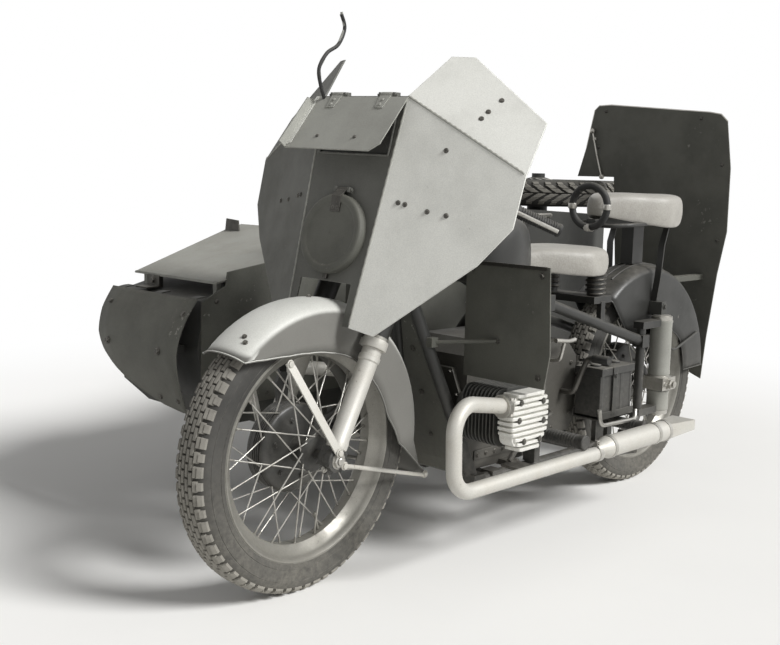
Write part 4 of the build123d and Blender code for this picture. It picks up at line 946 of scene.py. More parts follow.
    def make_hub(self) -> None:
        """The hub's small flange and barrel, and its ribbed drum."""
        left, drum = self.hub_left, self.drum_r
        outline = [(10.6, left), (26, left + 1), (34, left - 1), (41, left - 3), (44, left - 7), (44, 42),
                   (41, 39), (31, 34), (27, 22), (27, 4), (32, -6), (52, -9.5), (84, -11), (100, -12.5),
                   (105, -16), (107.6, -21)]
        ribs = [(r, y) for k in range(4) for r, y in ((104.6, -25.0 - 6 * k), (104.6, -27.0 - 6 * k),
                                                    (drum - 0.2, -28.0 - 6 * k), (drum - 0.2, -30.0 - 6 * k))]
        outline += ribs + [(drum, -52), (drum, -55.6), (10.6, -55.6)]
        hub = Workpiece(f"{self.place}_hub").lathe(self.centre, self.axis, outline, 72)
        for k in range(6):
            hub.bolt(self.point(72, radians(60 * k + 15), -9.5), self.axis, 9, 5)
        hub.make(self.body, FRAME_ENAMEL, 35, slot="plain_steel", replaces=[f"{self.place}_wheel"])

    def build(self) -> None:
        """Every piece of the wheel."""
        self.make_tyre()
        self.make_rim()
        self.make_spokes()
        self.make_hub()


# ------------------------------------------------------------------ mudguards
@dataclass
class Mudguard:
    """A crowned mudguard with side valances and a rolled edge, about one wheel."""

    name: str
    centre: Vector
    body: str
    node: str
    crown_r: float
    start: float  # degrees from straight ahead, upward
    end: float
    depths: Sequence[tuple[float, float]]  # (degrees, how deep the valance hangs from the crown)
    half_w: float = 70.0
    shoulder: float = 30.0
    tail: float = 0.0  # length of a straight tail behind
    tail_run: Point = (-0.34, 0, -0.94)
    tail_depths: Sequence[tuple[float, float]] = ((0, 80), (1, 0))
    finish: Finish = BODY_PAINT

    def stations(self) -> list[tuple[Vector, Vector, float]]:
        """Places along the guard, from the front lip to the rear one.

        Returns:
            The crown's point, the inward direction and the valance's depth at each.
        """
        found = []
        steps = int((self.end - self.start) / 4)
        for i in range(steps + 1):
            angle = self.start + (self.end - self.start) * i / steps
            out = radial(angle)
            found.append((self.centre + out * self.crown_r, -out, between(self.depths, angle)))
        if self.tail:
            last, inward, _ = found[-1]
            for i in range(1, 7):
                share = i / 6
                found.append((last + Vector(self.tail_run) * self.tail * share, inward,
                              between(self.tail_depths, share)))
        return found

    def section(self, crown: Vector, inward: Vector, depth: float) -> Ring:
        """The guard's outline at one station.

        Args:
            crown: the crown's point.
            inward: the way to the wheel's centre.
            depth: how deep the valance hangs.

        Returns:
            Points from the left edge over the crown to the right.
        """
        rise = min(depth, self.shoulder)
        lowest = asin(1 - rise / self.shoulder)
        half = [(self.half_w, depth + (rise - depth) * k / 4) for k in range(4)]
        for k in range(9):
            turn = lowest + (pi / 2 - lowest) * k / 8
            half.append((self.half_w * cos(turn) if k < 8 else 0.0, self.shoulder * (1 - sin(turn))))
        row = half + [(-y, drop) for y, drop in reversed(half[:-1])]
        return [crown + inward * drop + ACROSS * y for y, drop in row]

    def build(self) -> None:
        """The sheet, its rolled edge and what it replaces."""
        sections = [self.section(*station) for station in self.stations()]
        guard = Workpiece(self.name).skin(sections, closed=False, caps=False)
        guard.make(self.body, self.finish, 60, sheet=1.8, slot="field_paint", replaces=[self.node])
        rim = [row[0] for row in sections] + sections[-1][1:-1]
        rim += [row[-1] for row in reversed(sections)] + sections[0][-2:0:-1]
        clean = [p for p, q in zip(rim, rim[1:] + rim[:1]) if (p - q).length > 0.5]
        bead = Workpiece(f"{self.name}_bead").bar(clean, 2.2, 8, loop=True)
        bead.make(self.body, self.finish, 60, slot="field_paint")


@dataclass
class FrontGuardFittings:
    """Lugs, stays and bolts that hold the front mudguard to the fork."""

    leg_y: float = 106.0
    collar_r: float = 30.0
    guard_half_w: float = 70.0
    lug_along: float = AXLE_ALONG + 273.0

    def build(self) -> None:
        """A lug to each leg, a flat stay in front and a round stay behind."""
        fittings = Workpiece("front_guard_fittings")
        low, high = self.lug_along + 2, self.lug_along + 20
        corners = [(low, -12), (low, 12), (high, 12), (high, -12)]
        fittings.slab([along_fork(a, AXLE_AHEAD + h, self.guard_half_w - 2) for a, h in corners],
                      ACROSS * (self.leg_y - self.collar_r - self.guard_half_w + 1.7))
        front = [(4, 131.5, 20), (14, 127, 38), (104, 80, 214), (114, 72.5, 234)]
        fittings.strap([FRONT_AXLE + Vector(p) for p in front], 20, 4.5, ACROSS)
        back = rounded([(-13, 130.3, -13), (-330, 82, -108), (-372, 75.3, -120), (-384, 72.5, -118)], 30)
        fittings.bar([FRONT_AXLE + p for p in back], 5.2, 12)
        for place in ((4, 134, 20), (-13, 134, -13), (111, 76, 229), (-378, 76, -119)):
            fittings.bolt(FRONT_AXLE + Vector(place), ACROSS, 14)
        fittings.mirror_too()
        fittings.make(STEERING, PIPE_STEEL, bevel=0.8, slot="field_paint", replaces=["front_mudguard"])
        knobs = Workpiece("front_guard_fasteners")
        for angle, y in ((55, 30), (53, 42), (92, 0)):
            out = radial(angle)
            drop = 32 * (1 - (1 - (y / 70) ** 2) ** 0.5)
            knobs.bolt(FRONT_AXLE + out * (361 - drop) + ACROSS * y, out + ACROSS * y * 0.008, 8, 5)
        knobs.make(STEERING, DARK_STEEL)


@dataclass
class RearGuardFittings:
    """Brackets, ribs and stays of the rear and the sidecar mudguard."""

    guard_half_w: float = 72.0
    bracket_z: tuple[float, float] = (555.3, 600.0)
    side_brackets: tuple = ((363, 622), (-7.7, 592))
    tub_side_y: float = -930.3

    def build(self) -> None:
        """Everything between the sheets and what carries them."""
        rear = Workpiece("rear_guard_brackets")
        low, high = self.bracket_z
        rear.block((-15, self.guard_half_w - 3, low), (15, 118, high))
        rear.bolt((0, 119, (low + high) / 2 + 8), ACROSS, 13)
        stay = rounded([(-42, 74, 566), (-60, 78, 500), (-130, 80, 420), (-300, 76, 470)], 60)
        rear.bar(stay, 4.5, 10)
        rear.mirror_too()
        rear.make(CHASSIS, DARK_PAINT, bevel=1.2, slot="field_paint", replaces=["rear_mudguard"])
        ribs = Workpiece("rear_guard_ribs")
        for y, reach in ((-26, 374.4), (26, 374.4), (0, 377)):
            arc = [REAR_AXLE + radial(a) * reach + ACROSS * y for a in range(63, 178, 3)]
            ribs.bar(arc, 3.0, 10)
        ribs.make(CHASSIS, FRAME_ENAMEL, 60, slot="field_paint")
        side = Workpiece("sidecar_guard_brackets")
        inner = SIDE_AXLE.y + self.guard_half_w - 3
        for x, z in self.side_brackets:
            side.block((x - 10, inner, z - 10), (x + 10, self.tub_side_y, z + 10))
            side.turned((x, self.tub_side_y - 3, z), ACROSS, [(22, 0), (22, 2.6)], 24)
            for turn in (45, 225):
                side.bolt((x + 15 * cos(radians(turn)), self.tub_side_y - 3, z + 15 * sin(radians(turn))),
                          -ACROSS, 9, 4)
        side.make(CHASSIS, DARK_PAINT, bevel=1.0, slot="field_paint", replaces=["sidecar_mudguard"])


# ------------------------------------------------------------------ fork and handlebar
@dataclass
class Fork:
    """What shows on the telescopic fork over its solid: sleeves, bands, clamps and nuts."""

    leg_y: float = 106.0
    slider_r: float = 23.0
    cover_r: float = 27.0
    collar_r: float = 30.0
    slider_low: float = AXLE_ALONG + 19.0
    collar_low: float = AXLE_ALONG + 273.0
    yoke_high: float = 986.0

    def build(self) -> None:
        """Every piece of it."""
        dress("fork", FRAME_ENAMEL)
        self.make_sleeves()
        self.make_clamps()
        self.make_brake_arm()

    def make_sleeves(self) -> None:
        """The pale sliders with their collar and band, and the covers' beads."""
        sliders, covers = Workpiece("fork_sliders"), Workpiece("fork_cover_bands")
        foot = along_fork(0, AXLE_AHEAD, self.leg_y)
        r, low, high = self.slider_r, self.slider_low, self.collar_low
        tube = [(0.4, low + 6), (2.2, low + 8), (2.2, low + 26), (0.6, low + 30), (0.6, high - 34),
                (3, high - 31), (3, high - 20), (0.8, high - 17), (0.8, high)]
        sliders.turned(foot, STEER_UP, [(r + swell, along) for swell, along in tube], 40)
        collar = [(0.3, high - 0.5), (1.4, high + 2), (1.4, high + 19), (0.3, high + 22.5)]
        sliders.turned(foot, STEER_UP, [(self.collar_r + swell, along) for swell, along in collar], 40)
        sliders.mirror_too()
        sliders.make(STEERING, PIPE_STEEL, 35, slot="plain_steel")
        for along in (high + 26, 770, 806, 979):
            bead = [(0.3, -4), (1.8, -2.5), (1.8, 2.5), (0.3, 4)]
            covers.turned(foot, STEER_UP, [(self.cover_r + swell, along + off) for swell, off in bead], 40)
        cap = self.yoke_high + 22
        covers.turned(foot, STEER_UP, [(20, cap - 1), (20, cap + 2), (17, cap + 3.4)], 40)
        covers.turned(foot, STEER_UP, [(15, cap + 3), (15, cap + 11), (13, cap + 13)], 6)
        covers.mirror_too()
        head = along_fork(0, 0, 0)
        covers.turned(head, STEER_UP, [(24, cap - 1), (24, cap + 5), (21, cap + 7)], 40)
        covers.turned(head, STEER_UP, [(17, cap + 7), (17, cap + 17), (15, cap + 19)], 6)
        covers.make(STEERING, BRIGHT_STEEL, 35)

    def make_clamps(self) -> None:
        """The dark clamp at each leg's foot, its pinch bolt and the spindle's nut."""
        clamps, nuts = Workpiece("fork_end_clamps"), Workpiece("front_spindle_nuts")
        foot = FRONT_AXLE + ACROSS * (self.leg_y - 21)
        clamps.turned(foot, ACROSS, [(25, 0), (27, 2), (27, 18), (29, 20), (29, 38), (27, 40.5)], 40)
        clamps.slab([along_fork(AXLE_ALONG + a, AXLE_AHEAD + h, self.leg_y - 9)
                     for a, h in ((-38, -8), (-38, 8), (-20, 13), (-20, -13))], ACROSS * 18)
        clamps.mirror_too()
        clamps.make(STEERING, FRAME_ENAMEL, 35, bevel=1.0)
        nuts.turned(FRONT_AXLE + ACROSS * 125.6, ACROSS, [(20, 0), (20, 2)], 32)
        nuts.turned(FRONT_AXLE + ACROSS * 127.4, ACROSS, [(16.5, 0), (16.5, 5.6), (14.5, 7)], 6)
        nuts.turned(FRONT_AXLE + ACROSS * 133, ACROSS, [(9.4, 0), (9.4, 4), (7.6, 5.5)], 24)
        nuts.mirror_too()
        pinch = along_fork(AXLE_ALONG - 29, AXLE_AHEAD + 12, self.leg_y)
        nuts.bolt(pinch, STEER_AHEAD, 11)
        nuts.make(STEERING, BRIGHT_STEEL, slot="plain_steel")

    def make_brake_arm(self) -> None:
        """The torque bracket, lever and cable anchor on the brake's closing plate."""
        arm = Workpiece("front_brake_arm")
        plate = FRONT_AXLE - ACROSS * 64.6
        arm.turned(plate, -ACROSS, [(60, 0), (58, 4), (36, 6), (30, 12), (16, 13)], 48)
        holder = [(-16, 4, 96), (14, 4, 100), (20, -4, 150), (6, -14, 176), (-14, -14, 172), (-20, -4, 140)]
        arm.slab([plate + Vector((x, 0, z)) for x, _, z in holder], -ACROSS * 9)
        arm.strap([plate + Vector((-2, -5, 150)), plate + Vector((-14, -20, 196))], 24, 8, ACROSS)
        lever = [plate + Vector(p) for p in ((-48, -10, -58), (-70, -14, -30), (-96, -14, 26))]
        arm.strap(lever, 16, 6, ACROSS)
        arm.turned(plate + Vector((-48, 0, -58)), -ACROSS, [(12, 0), (12, 14), (9, 16)], 24)
        arm.bolt(plate + Vector((-4, -9, 124)), -ACROSS, 13)
        arm.make(STEERING, FRAME_ENAMEL, bevel=1.0)


@dataclass
class Handlebar:
    """Grips with their ribs, and the fittings on the bar."""

    end: tuple = (958.0, 372.0, 872.0)
    elbow: tuple = (1078.0, 262.0, 936.0)
    grip_r: float = 16.0

    def build(self) -> None:
        """Dress the bar and add the grips."""
        dress("handlebar", BRIGHT_STEEL)
        end, back = Vector(self.end), (Vector(self.elbow) - Vector(self.end)).normalized()
        grip = Workpiece("grips_ribbed")
        profile = [(8, -4), (14.5, -3.6), (self.grip_r, -1), (self.grip_r, 5)]
        for k in range(16):
            at = 8 + k * 6.4
            profile += [(self.grip_r - 2.2, at), (self.grip_r - 2.2, at + 2), (self.grip_r - 0.4, at + 2.8),
                        (self.grip_r - 0.4, at + 5.6)]
        profile += [(self.grip_r, 112), (self.grip_r, 119.6), (12.6, 120)]
        grip.turned(end, back, profile, 32).mirror_too()
        grip.make(STEERING, BLACK_RUBBER, 40, slot="black_rubber", replaces=["grips"])
        fittings = Workpiece("handlebar_fittings")
        for along in (128, 152):
            fittings.turned(end + back * along, back, [(15, -5), (16, -4), (16, 4), (15, 5)], 28)
        fittings.bolt(end + back * 140 + UP * 19, UP, 10, 5)
        fittings.mirror_too()
        fittings.make(STEERING, DARK_STEEL)


# ------------------------------------------------------------------ front shield
@dataclass
class Shield:
    """The folded front plates: their finish, weld seams and bolts."""

    armour: float = 4.0
    window: tuple = (112.0, 1030.0, 1135.0)

    def normal(self, a: Vector, b: Vector, c: Vector) -> Vector:
        """The forward-facing unit normal of a plane through three points."""
        found = (b - a).cross(c - a).normalized()
        return found if found.x > 0 else -found

    def on_plate(self, point: Point, normal: Vector) -> Vector:
        """A point moved along X onto the plate through the hinge corner."""
        place = Vector(point)
        return place - AHEAD * ((place - HINGE).dot(normal) / normal.x)

    def build(self) -> None:
        """Dress the plates and add what is fixed to them."""
        # The centre and right plates take the darker paint as painted shade.
        for side, finish in (("centre", SHADED_SHIELD_PAINT), ("left", SHIELD_PAINT), ("right", SHADED_SHIELD_PAINT)):
            dress(f"shield_{side}", finish, 0.9)
        side = self.normal(HINGE, CREASE_LOW, CREASE_REAR)
        wing = self.normal(HINGE, CREASE_REAR, WING_TOP)
        bolts = Workpiece("shield_bolts")
        for place in ((1299, 158, 926), (1294, 174, 923), (1277, 226, 910), (1262, 269, 904),
                      (1239, 241, 1047)):
            bolts.bolt(self.on_plate(place, side), side, 8, 3.5)
        for place in ((1127, 308, 1164), (1158, 295, 1137), (1176, 289, 1121)):
            bolts.bolt(self.on_plate(place, wing), wing, 8, 3.5)
        bolts.mirror_too()
        bolts.make(STEERING, DARK_STEEL)
        seams = Workpiece("shield_weld_seams")
        for start, end in ((HINGE, CREASE_LOW), (HINGE, CREASE_REAR)):
            count = 46  # ripples along the bead
            line = [start.lerp(end, 0.985 * k / count) + UP * (0.5 if k % 2 else -0.5) - AHEAD * 0.8
                    for k in range(count + 1)]
            seams.bar(line, 2.6, 8, radii=[2.4 + 0.9 * (k % 2) for k in range(count + 1)])
        seams.mirror_too()
        # The seams' darker paint is painted half shade.
        seams.make(STEERING, HALF_SHADED_PAINT, 70, slot="field_paint")
        self.make_window()

    def make_window(self) -> None:
        """A folded rim round the vision opening, and a dark frame behind it that paints the shade inside the
        opening.
        """
        half, low, high = self.window
        corners = [(half, low), (half, high), (-half, high), (-half, low)]
        rim = Workpiece("window_rim")
        points = [on_centre_plate(y, z, 1.5) for y, z in corners]
        for a, b in zip(points, points[1:] + points[:1]):
            rim.bar([a, b], 2.6, 8)
        # The rim's darker paint is painted shade.
        rim.make(STEERING, SHADED_SHIELD_PAINT, 60, slot="field_paint")
        # A dark frame behind the opening, as painted shade.
        shade_frame = Workpiece("window_shade_frame")
        behind = Vector((-self.armour - 1.5, 0, 0))
        inner = [on_centre_plate(y, z, 1.5) for y, z in ((half - 34, low + 40), (half - 34, high - 14),
                                                         (14 - half, high - 14), (14 - half, low + 40))]
        outer = [p + (p - sum(points, Vector()) / 4).normalized() * 12 for p in points]
        for k in range(4):
            j = (k + 1) % 4
            shade_frame.slab([p + behind for p in (outer[k], outer[j], inner[j], inner[k])], AHEAD * -3)
        shade_frame.make(STEERING, DARK_PAINT, bevel=0.5)


@dataclass
class Flap:
    """The vision flap over the window, its knuckles and its pull rod's sheath."""

    pin: tuple = (1260.0, 0.0, 1168.0)
    rest: float = 50.0
    length: float = 170.0
    half_w: float = 146.0
    knuckle_y: float = 78.0
    sheet: float = 3.0

    def at(self, out: float, y: float, lift: float) -> Vector:
        """A point on the flap.

        Args:
            out: its distance from the pin, down the flap.
            y: its place across.
            lift: how far above the pin's plane it lies.

        Returns:
            The point.
        """
        angle = radians(self.rest)
        return (Vector(self.pin) + Vector((cos(angle), 0, -sin(angle))) * out + ACROSS * y
                + Vector((sin(angle), 0, cos(angle))) * lift)

    def build(self) -> None:
        """Dress the flap and add its hinge leaves, studs, folded lip and pull rod sheath."""
        # The flap's darker paint is painted half shade.
        dress("vision_flap", HALF_SHADED_PAINT, 0.7)
        leaves = Workpiece("flap_hinge_leaves")
        face = self.at(0, 0, 1) - self.at(0, 0, 0)
        for y in (-self.knuckle_y, self.knuckle_y):
            leaves.slab([self.at(o, y + d, self.sheet) for o, d in ((6, -17), (6, 17), (44, 12), (44, -12))],
                        face * 2.4)
            leaves.turned(self.at(0, y - 17.6, 0), ACROSS, [(6.2, 0), (6.6, 1), (6.6, 34), (6.2, 35)], 24)
            for out in (20, 35):
                leaves.rivet(self.at(out, y, self.sheet + 2.2), face, 4.6)
        leaves.make("vision_flap", HALF_SHADED_PAINT, bevel=0.6, slot="field_paint")
        studs = Workpiece("flap_studs")
        for y in (-60, 60):
            studs.rivet(self.at(132, y, self.sheet), face, 5)
        studs.make("vision_flap", DARK_STEEL, 35)
        lip = Workpiece("flap_folded_lip")
        edge = ((8, 1), (self.length - 6, 1), (self.length - 14, 13), (8, 10))
        lip.slab([self.at(out, y - self.half_w, self.sheet) for out, y in edge], face * 1.2)
        lip.make("vision_flap", SHIELD_PAINT, bevel=0.3, slot="field_paint")
        sheath = Workpiece("pull_rod_sheath")
        bends = ((16, 1156), (32, 1190), (39, 1228), (14, 1266), (-24, 1290), (-44, 1330), (-31, 1362))
        sheath.bar(smooth_line([(HINGE.x + x, -118, z) for x, z in bends], 6), 4.6, 12)
        sheath.make("vision_flap", BLACK_RUBBER, 60)


@dataclass
class Headlamp:
    """The lamp behind the shield and its swinging cover."""

    cover_r: float = 95.0
    cover_t: float = 22.0
    hinge_up: float = 107.0
    hinge_out: float = 6.3
    knuckle_len: float = 36.0

    def __post_init__(self) -> None:
        """Work out the plate's directions at the lamp."""
        self.out = Vector((1, 0, -CENTRE_SLOPE)).normalized()
        self.up = self.out.cross(ACROSS)
        self.centre = on_centre_plate(0, LAMP_Z)

    def at(self, across: float, up: float, out: float) -> Vector:
        """A point from its distance across, up and out from the lamp's centre on the plate."""
        return self.centre + ACROSS * across + self.up * up + self.out * out

    def build(self) -> None:
        """The cover with its clip and latch, and the lamp's rim and glass."""
        dress("headlamp", FRAME_ENAMEL)
        self.make_cover()
        rim = Workpiece("headlamp_rim")
        lip = [(80, -6), (82, -4), (81.5, -1.5), (78, -0.4), (73, -2), (73, -6)]
        rim.lathe(self.at(0, 0, 0), self.out, lip, 96)
        rim.make(STEERING, BRIGHT_STEEL, 50)
        glass = Workpiece("headlamp_glass")
        crown = [(73.4, 0), (73.4, 0.4), (60, 1.6), (40, 2.6), (20, 3.2), (6, 3.4)]
        glass.turned(self.at(0, 0, -5.2), self.out, crown, 72)
        glass.make(STEERING, LAMP_GLASS, 60)

    def make_cover(self) -> None:
        """A pressed can with a rounded shoulder, a clip above and a latch below."""
        r, t = self.cover_r, self.cover_t
        can = Workpiece("lamp_cover_pressing")
        can.lathe(self.at(0, 0, 0.3), self.out, [
            (r - 3, 0), (r, 0), (r, t - 7), (r - 1.2, t - 3.5), (r - 3.5, t - 1.2), (r - 7, t), (r - 15, t),
            (r - 18, t - 1), (r - 20, t - 3), (r - 22, t - 3.4), (14, t - 3.4), (10, t - 2.4), (1, t - 2.2),
            (1, t - 5), (r - 7, t - 6.4), (r - 4, t - 9)], 96)
        # The cover's dark paint is painted shade.
        can.make("lamp_cover", SHADED_PLATE_PAINT, 35, slot="field_paint", replaces=["lamp_cover"])
        clip = Workpiece("lamp_cover_clip")
        half = self.knuckle_len / 2
        barrel = [(3, 0), (5.6, 0.8), (5.6, 35.2), (3, 36)]
        clip.turned(self.at(-half, self.hinge_up, self.hinge_out), ACROSS, barrel, 24)
        strap = [self.at(0, self.hinge_up - 2, self.hinge_out + 3.4), self.at(0, r + 2, t - 6),
                 self.at(0, r - 6, t + 0.4), self.at(0, r - 26, t - 1.6), self.at(0, r - 44, t - 2)]
        clip.strap(strap, 30, 3, self.out)
        for across in (7, -7):
            clip.rivet(self.at(across, r - 34, t - 2), self.out, 4.5)
        latch = ((-8, 8 - r), (8, 8 - r), (6, -r - 11), (-6, -r - 11))
        clip.slab([self.at(x, y, 1) for x, y in latch], self.out * 7)
        clip.make("lamp_cover", DARK_STEEL, bevel=0.6, replaces=["lamp_cover"])


# ------------------------------------------------------------------ engine and exhausts
@dataclass
class Cylinder:
    """A finned barrel and its head, with level fins across the head's face."""

    node: str
    x: float
    side: int  # 1 on the left, -1 on the right
    z: float = 388.0
    foot: float = 126.3
    head_in: float = 250.0
    face: float = 300.0
    half: float = 75.0
    corner: float = 26.0
    barrel_r: float = 50.0
    fin_t: float = 3.6
    fin_pitch: float = 11.6
    rows: int = 11
    low_cut: float = 44.0  # how far the head's lower corners are cut
    head_drop: float = 8.0

    def at(self, x: float, y: float, z: float) -> Vector:
        """A point from the barrel's middle, with Y outward."""
        return Vector((self.x + x, self.side * y, self.z + z))

    def plate(self, half: float, corner: float) -> list[tuple[float, float]]:
        """A square outline with round corners.

        Args:
            half: half its width.
            corner: the corners' radius.

        Returns:
            Its points as X and Z.
        """
        found = []
        for turn in range(4):
            c, s = (1, 0, -1, 0)[turn], (0, 1, 0, -1)[turn]
            for k in range(5):
                a = pi / 2 * k / 4
                x, z = half - corner + corner * cos(a), half - corner + corner * sin(a)
                found.append((x * c - z * s, x * s + z * c))
        return found

    def reach(self, z: float) -> float:
        """Half the head's width at a height, inside its cut corners."""
        cut = self.corner if z > 0 else self.low_cut
        return self.half - max(0.0, abs(z) - (self.half - cut)) * (1.0 if z > 0 else 0.72)

    def build(self) -> None:
        """The barrel, the head and their bolts."""
        out = ACROSS * self.side
        barrel = Workpiece(f"{self.node}_barrel")
        core_r = self.barrel_r - 6
        core = [(core_r, 0), (core_r, self.head_in - self.foot + 4)]
        barrel.turned(self.at(0, self.foot, 0), out, core, 40)
        y = self.foot + 5
        while y < self.head_in - 6:
            ring = [self.at(x, y, z) for x, z in self.plate(self.half - 1, self.corner + 6)]
            barrel.slab(ring, out * self.fin_t)
            y += self.fin_pitch
        barrel.make(CHASSIS, DARK_PAINT, bevel=0.7, slot="cast_alloy", replaces=[self.node])
        head = Workpiece(f"{self.node}_head")
        core = [self.at(x, self.head_in, z) for x, z in self.plate(self.half - 9, self.corner)]
        head.slab(core, out * (self.face - self.head_in - 9))
        pitch = (2 * self.half - 8 + self.head_drop) / self.rows
        for i in range(self.rows):
            z = -self.half + 4 - self.head_drop + (i + 0.5) * pitch
            wide = self.reach(z + copysign(pitch * 0.3, z))
            outline = [(-wide, self.head_in + 1), (-wide, self.face - 9), (-wide + 3, self.face - 3),
                       (-wide + 9, self.face), (wide - 9, self.face), (wide - 3, self.face - 3),
                       (wide, self.face - 9), (wide, self.head_in + 1)]
            head.slab([self.at(x, y, z - pitch * 0.32) for x, y in outline], UP * pitch * 0.64)
        head.make(CHASSIS, CAST_ALLOY, bevel=1.6, slot="cast_alloy", replaces=[self.node])
        bolts = Workpiece(f"{self.node}_bolts")
        for x, z in ((-46, 42), (44, 48), (-50, -8), (50, 4), (-36, -54), (28, -52)):
            bolts.turned(self.at(x, self.face - 10, z), out, [(8.4, 0), (8.4, 10.4)], 24)
            bolts.turned(self.at(x, self.face - 1, z), out, [(6.4, 0), (6.4, 3.6), (5.4, 4.6)], 6)
        bolts.make(CHASSIS, DARK_STEEL, 35)


class Engine:
    """Covers and fittings on the crankcase and gearbox."""

    def build(self) -> None:
        """The covers, the carburettors, the pedals and the bolts."""
        dress("engine", DARK_ALLOY, 2.5)
        covers = Workpiece("engine_covers")
        front = [(-62, 262), (62, 262), (80, 300), (80, 420), (52, 486), (-52, 486), (-80, 420), (-80, 300)]
        covers.slab([(934, y, z) for y, z in front], AHEAD * 14)
        covers.turned((947, 0, 372), AHEAD, [(52, 0), (52, 5), (46, 9), (20, 10)], 48)
        covers.slab([(x, 93, z) for x, z in ((660, 236), (898, 236), (898, 262), (660, 262))], ACROSS * 5)
        covers.mirror_too()
        sump = [(650, 92), (895, 92), (895, -92), (650, -92)]
        covers.slab([(x, y, 209) for x, y in sump], UP * 6.5)
        covers.turned((690, 0, 555), UP, [(46, 0), (48, 3), (48, 56), (44, 62), (20, 66)], 48)
        covers.turned((560, 0, 519), UP, [(22, 0), (22, 10), (18, 14)], 24)
        covers.make(CHASSIS, DARK_ALLOY, bevel=1.6, slot="cast_alloy")
        bolts = Workpiece("engine_bolts")
        for y, z in front:
            bolts.bolt((948, y * 0.88, 374 + (z - 374) * 0.9), AHEAD, 9, 5)
        for x in range(670, 900, 36):
            bolts.bolt((x, 98, 249), ACROSS, 9, 4)
        for x, z in ((455, 300), (455, 450), (500, 500), (620, 500), (620, 275), (540, 268)):
            bolts.bolt((x, 85, z), ACROSS, 10, 5)
        bolts.mirror_too()
        bolts.make(CHASSIS, DARK_STEEL)
        for side, x in ((1, 925), (-1, 885)):
            self.make_carburettor(side, x)
        self.make_pedals()

    def make_carburettor(self, side: int, x: float) -> None:
        """A carburettor behind one cylinder head, with its bowl and its air pipe.

        Args:
            side: 1 on the left, -1 on the right.
            x: the cylinder's place.
        """
        name = "left" if side > 0 else "right"
        body = Workpiece(f"carburettor_{name}")
        y = side * 214
        body.turned((x - 74, y, 430), -AHEAD,
                    [(24, -2), (24, 5), (17, 7), (17, 40), (22, 44), (22, 58), (18, 60)], 32)
        body.turned((x - 100, y, 398), UP, [(17, 0), (20, 4), (20, 24), (18, 28), (18, 60), (14, 66)], 32)
        pipe = [(x - 128, y, 430), (x - 150, y, 432), (700, side * 120, 520), (694, side * 42, 590)]
        body.bar(rounded(pipe, 45), 15, 20)
        body.make(CHASSIS, DARK_ALLOY, 35, slot="cast_alloy")

    def make_pedals(self) -> None:
        """Gear pedal and kick lever on the left, brake pedal on the right."""
        pedals = Workpiece("foot_pedals")
        gear = rounded([(600, 92, 330), (600, 132, 330), (740, 150, 300), (900, 214, 258)], 24)
        pedals.bar(gear, 7, 12)
        pedals.slab([(868, y, z) for y, z in ((212, 250), (318, 246), (318, 254), (212, 258))], AHEAD * 62)
        kick = rounded([(500, 88, 372), (500, 128, 372), (452, 140, 470), (452, 214, 474)], 18)
        pedals.bar(kick, 8, 14)
        brake = rounded([(560, -90, 250), (560, -150, 250), (700, -190, 262), (835, -250, 270)], 24)
        pedals.bar(brake, 7, 12)
        tread = ((-228, 264), (-290, 264), (-290, 272), (-228, 272))
        pedals.slab([(812, y, z) for y, z in tread], AHEAD * 46)
        pedals.make(CHASSIS, DARK_STEEL, bevel=1.0, slot="plain_steel")
        pads = Workpiece("kick_lever_rubber")
        pads.turned((452, 160, 472), ACROSS, [(12, 0), (13, 2), (13, 52), (12, 54)], 24)
        pads.make(CHASSIS, BLACK_RUBBER, 35, slot="black_rubber")


@dataclass
class Exhaust:
    """Bands, port nut and clamp of one exhaust."""

    node: str
    side: int
    port_x: float
    pipe_y: float = 300.0
    pipe_z: float = 250.0
    silencer: tuple = (280.0, 582.0)
    silencer_r: float = 30.0

    def build(self) -> None:
        """Dress the pipe and add what clamps it."""
        dress(self.node, PIPE_STEEL, 1.5)
        name = "left" if self.side > 0 else "right"
        bands = Workpiece(f"exhaust_bands_{name}")
        y, z = self.side * self.pipe_y, self.pipe_z + 10
        rear, front = self.silencer
        r = self.silencer_r
        for x in (rear + 4, rear + 62, front - 10):
            bands.turned((x, y, z), AHEAD, [(r, -7), (r + 2, -6), (r + 2, 6), (r, 7)], 40)
        bands.turned((front + 44, y, self.pipe_z), AHEAD, [(19.4, -9), (22, -8), (22, 8), (19.4, 9)], 32)
        bands.block((front + 38, y - 4, self.pipe_z + 20), (front + 50, y + 4, self.pipe_z + 36))
        bands.bolt((front + 44, y + 4 * self.side, self.pipe_z + 29), ACROSS * self.side, 9, 5)
        port = Vector((self.port_x, self.side * 276, 430))
        for k in range(4):
            bands.turned(port + AHEAD * (2 + 5 * k), AHEAD, [(24, 0), (29, 0.6), (29, 2.4), (24, 3)], 32)
        bands.make(CHASSIS, BRIGHT_STEEL, 35, slot="pipe_steel")
        hanger = Workpiece(f"exhaust_hanger_{name}")
        hanger.strap([(rear + 62, y, z - r - 1), (rear + 62, y - 52 * self.side, z - r - 2),
                      (rear + 62, self.side * 132, 206)], 24, 4, UP)
        hanger.make(CHASSIS, FRAME_ENAMEL, bevel=0.8)


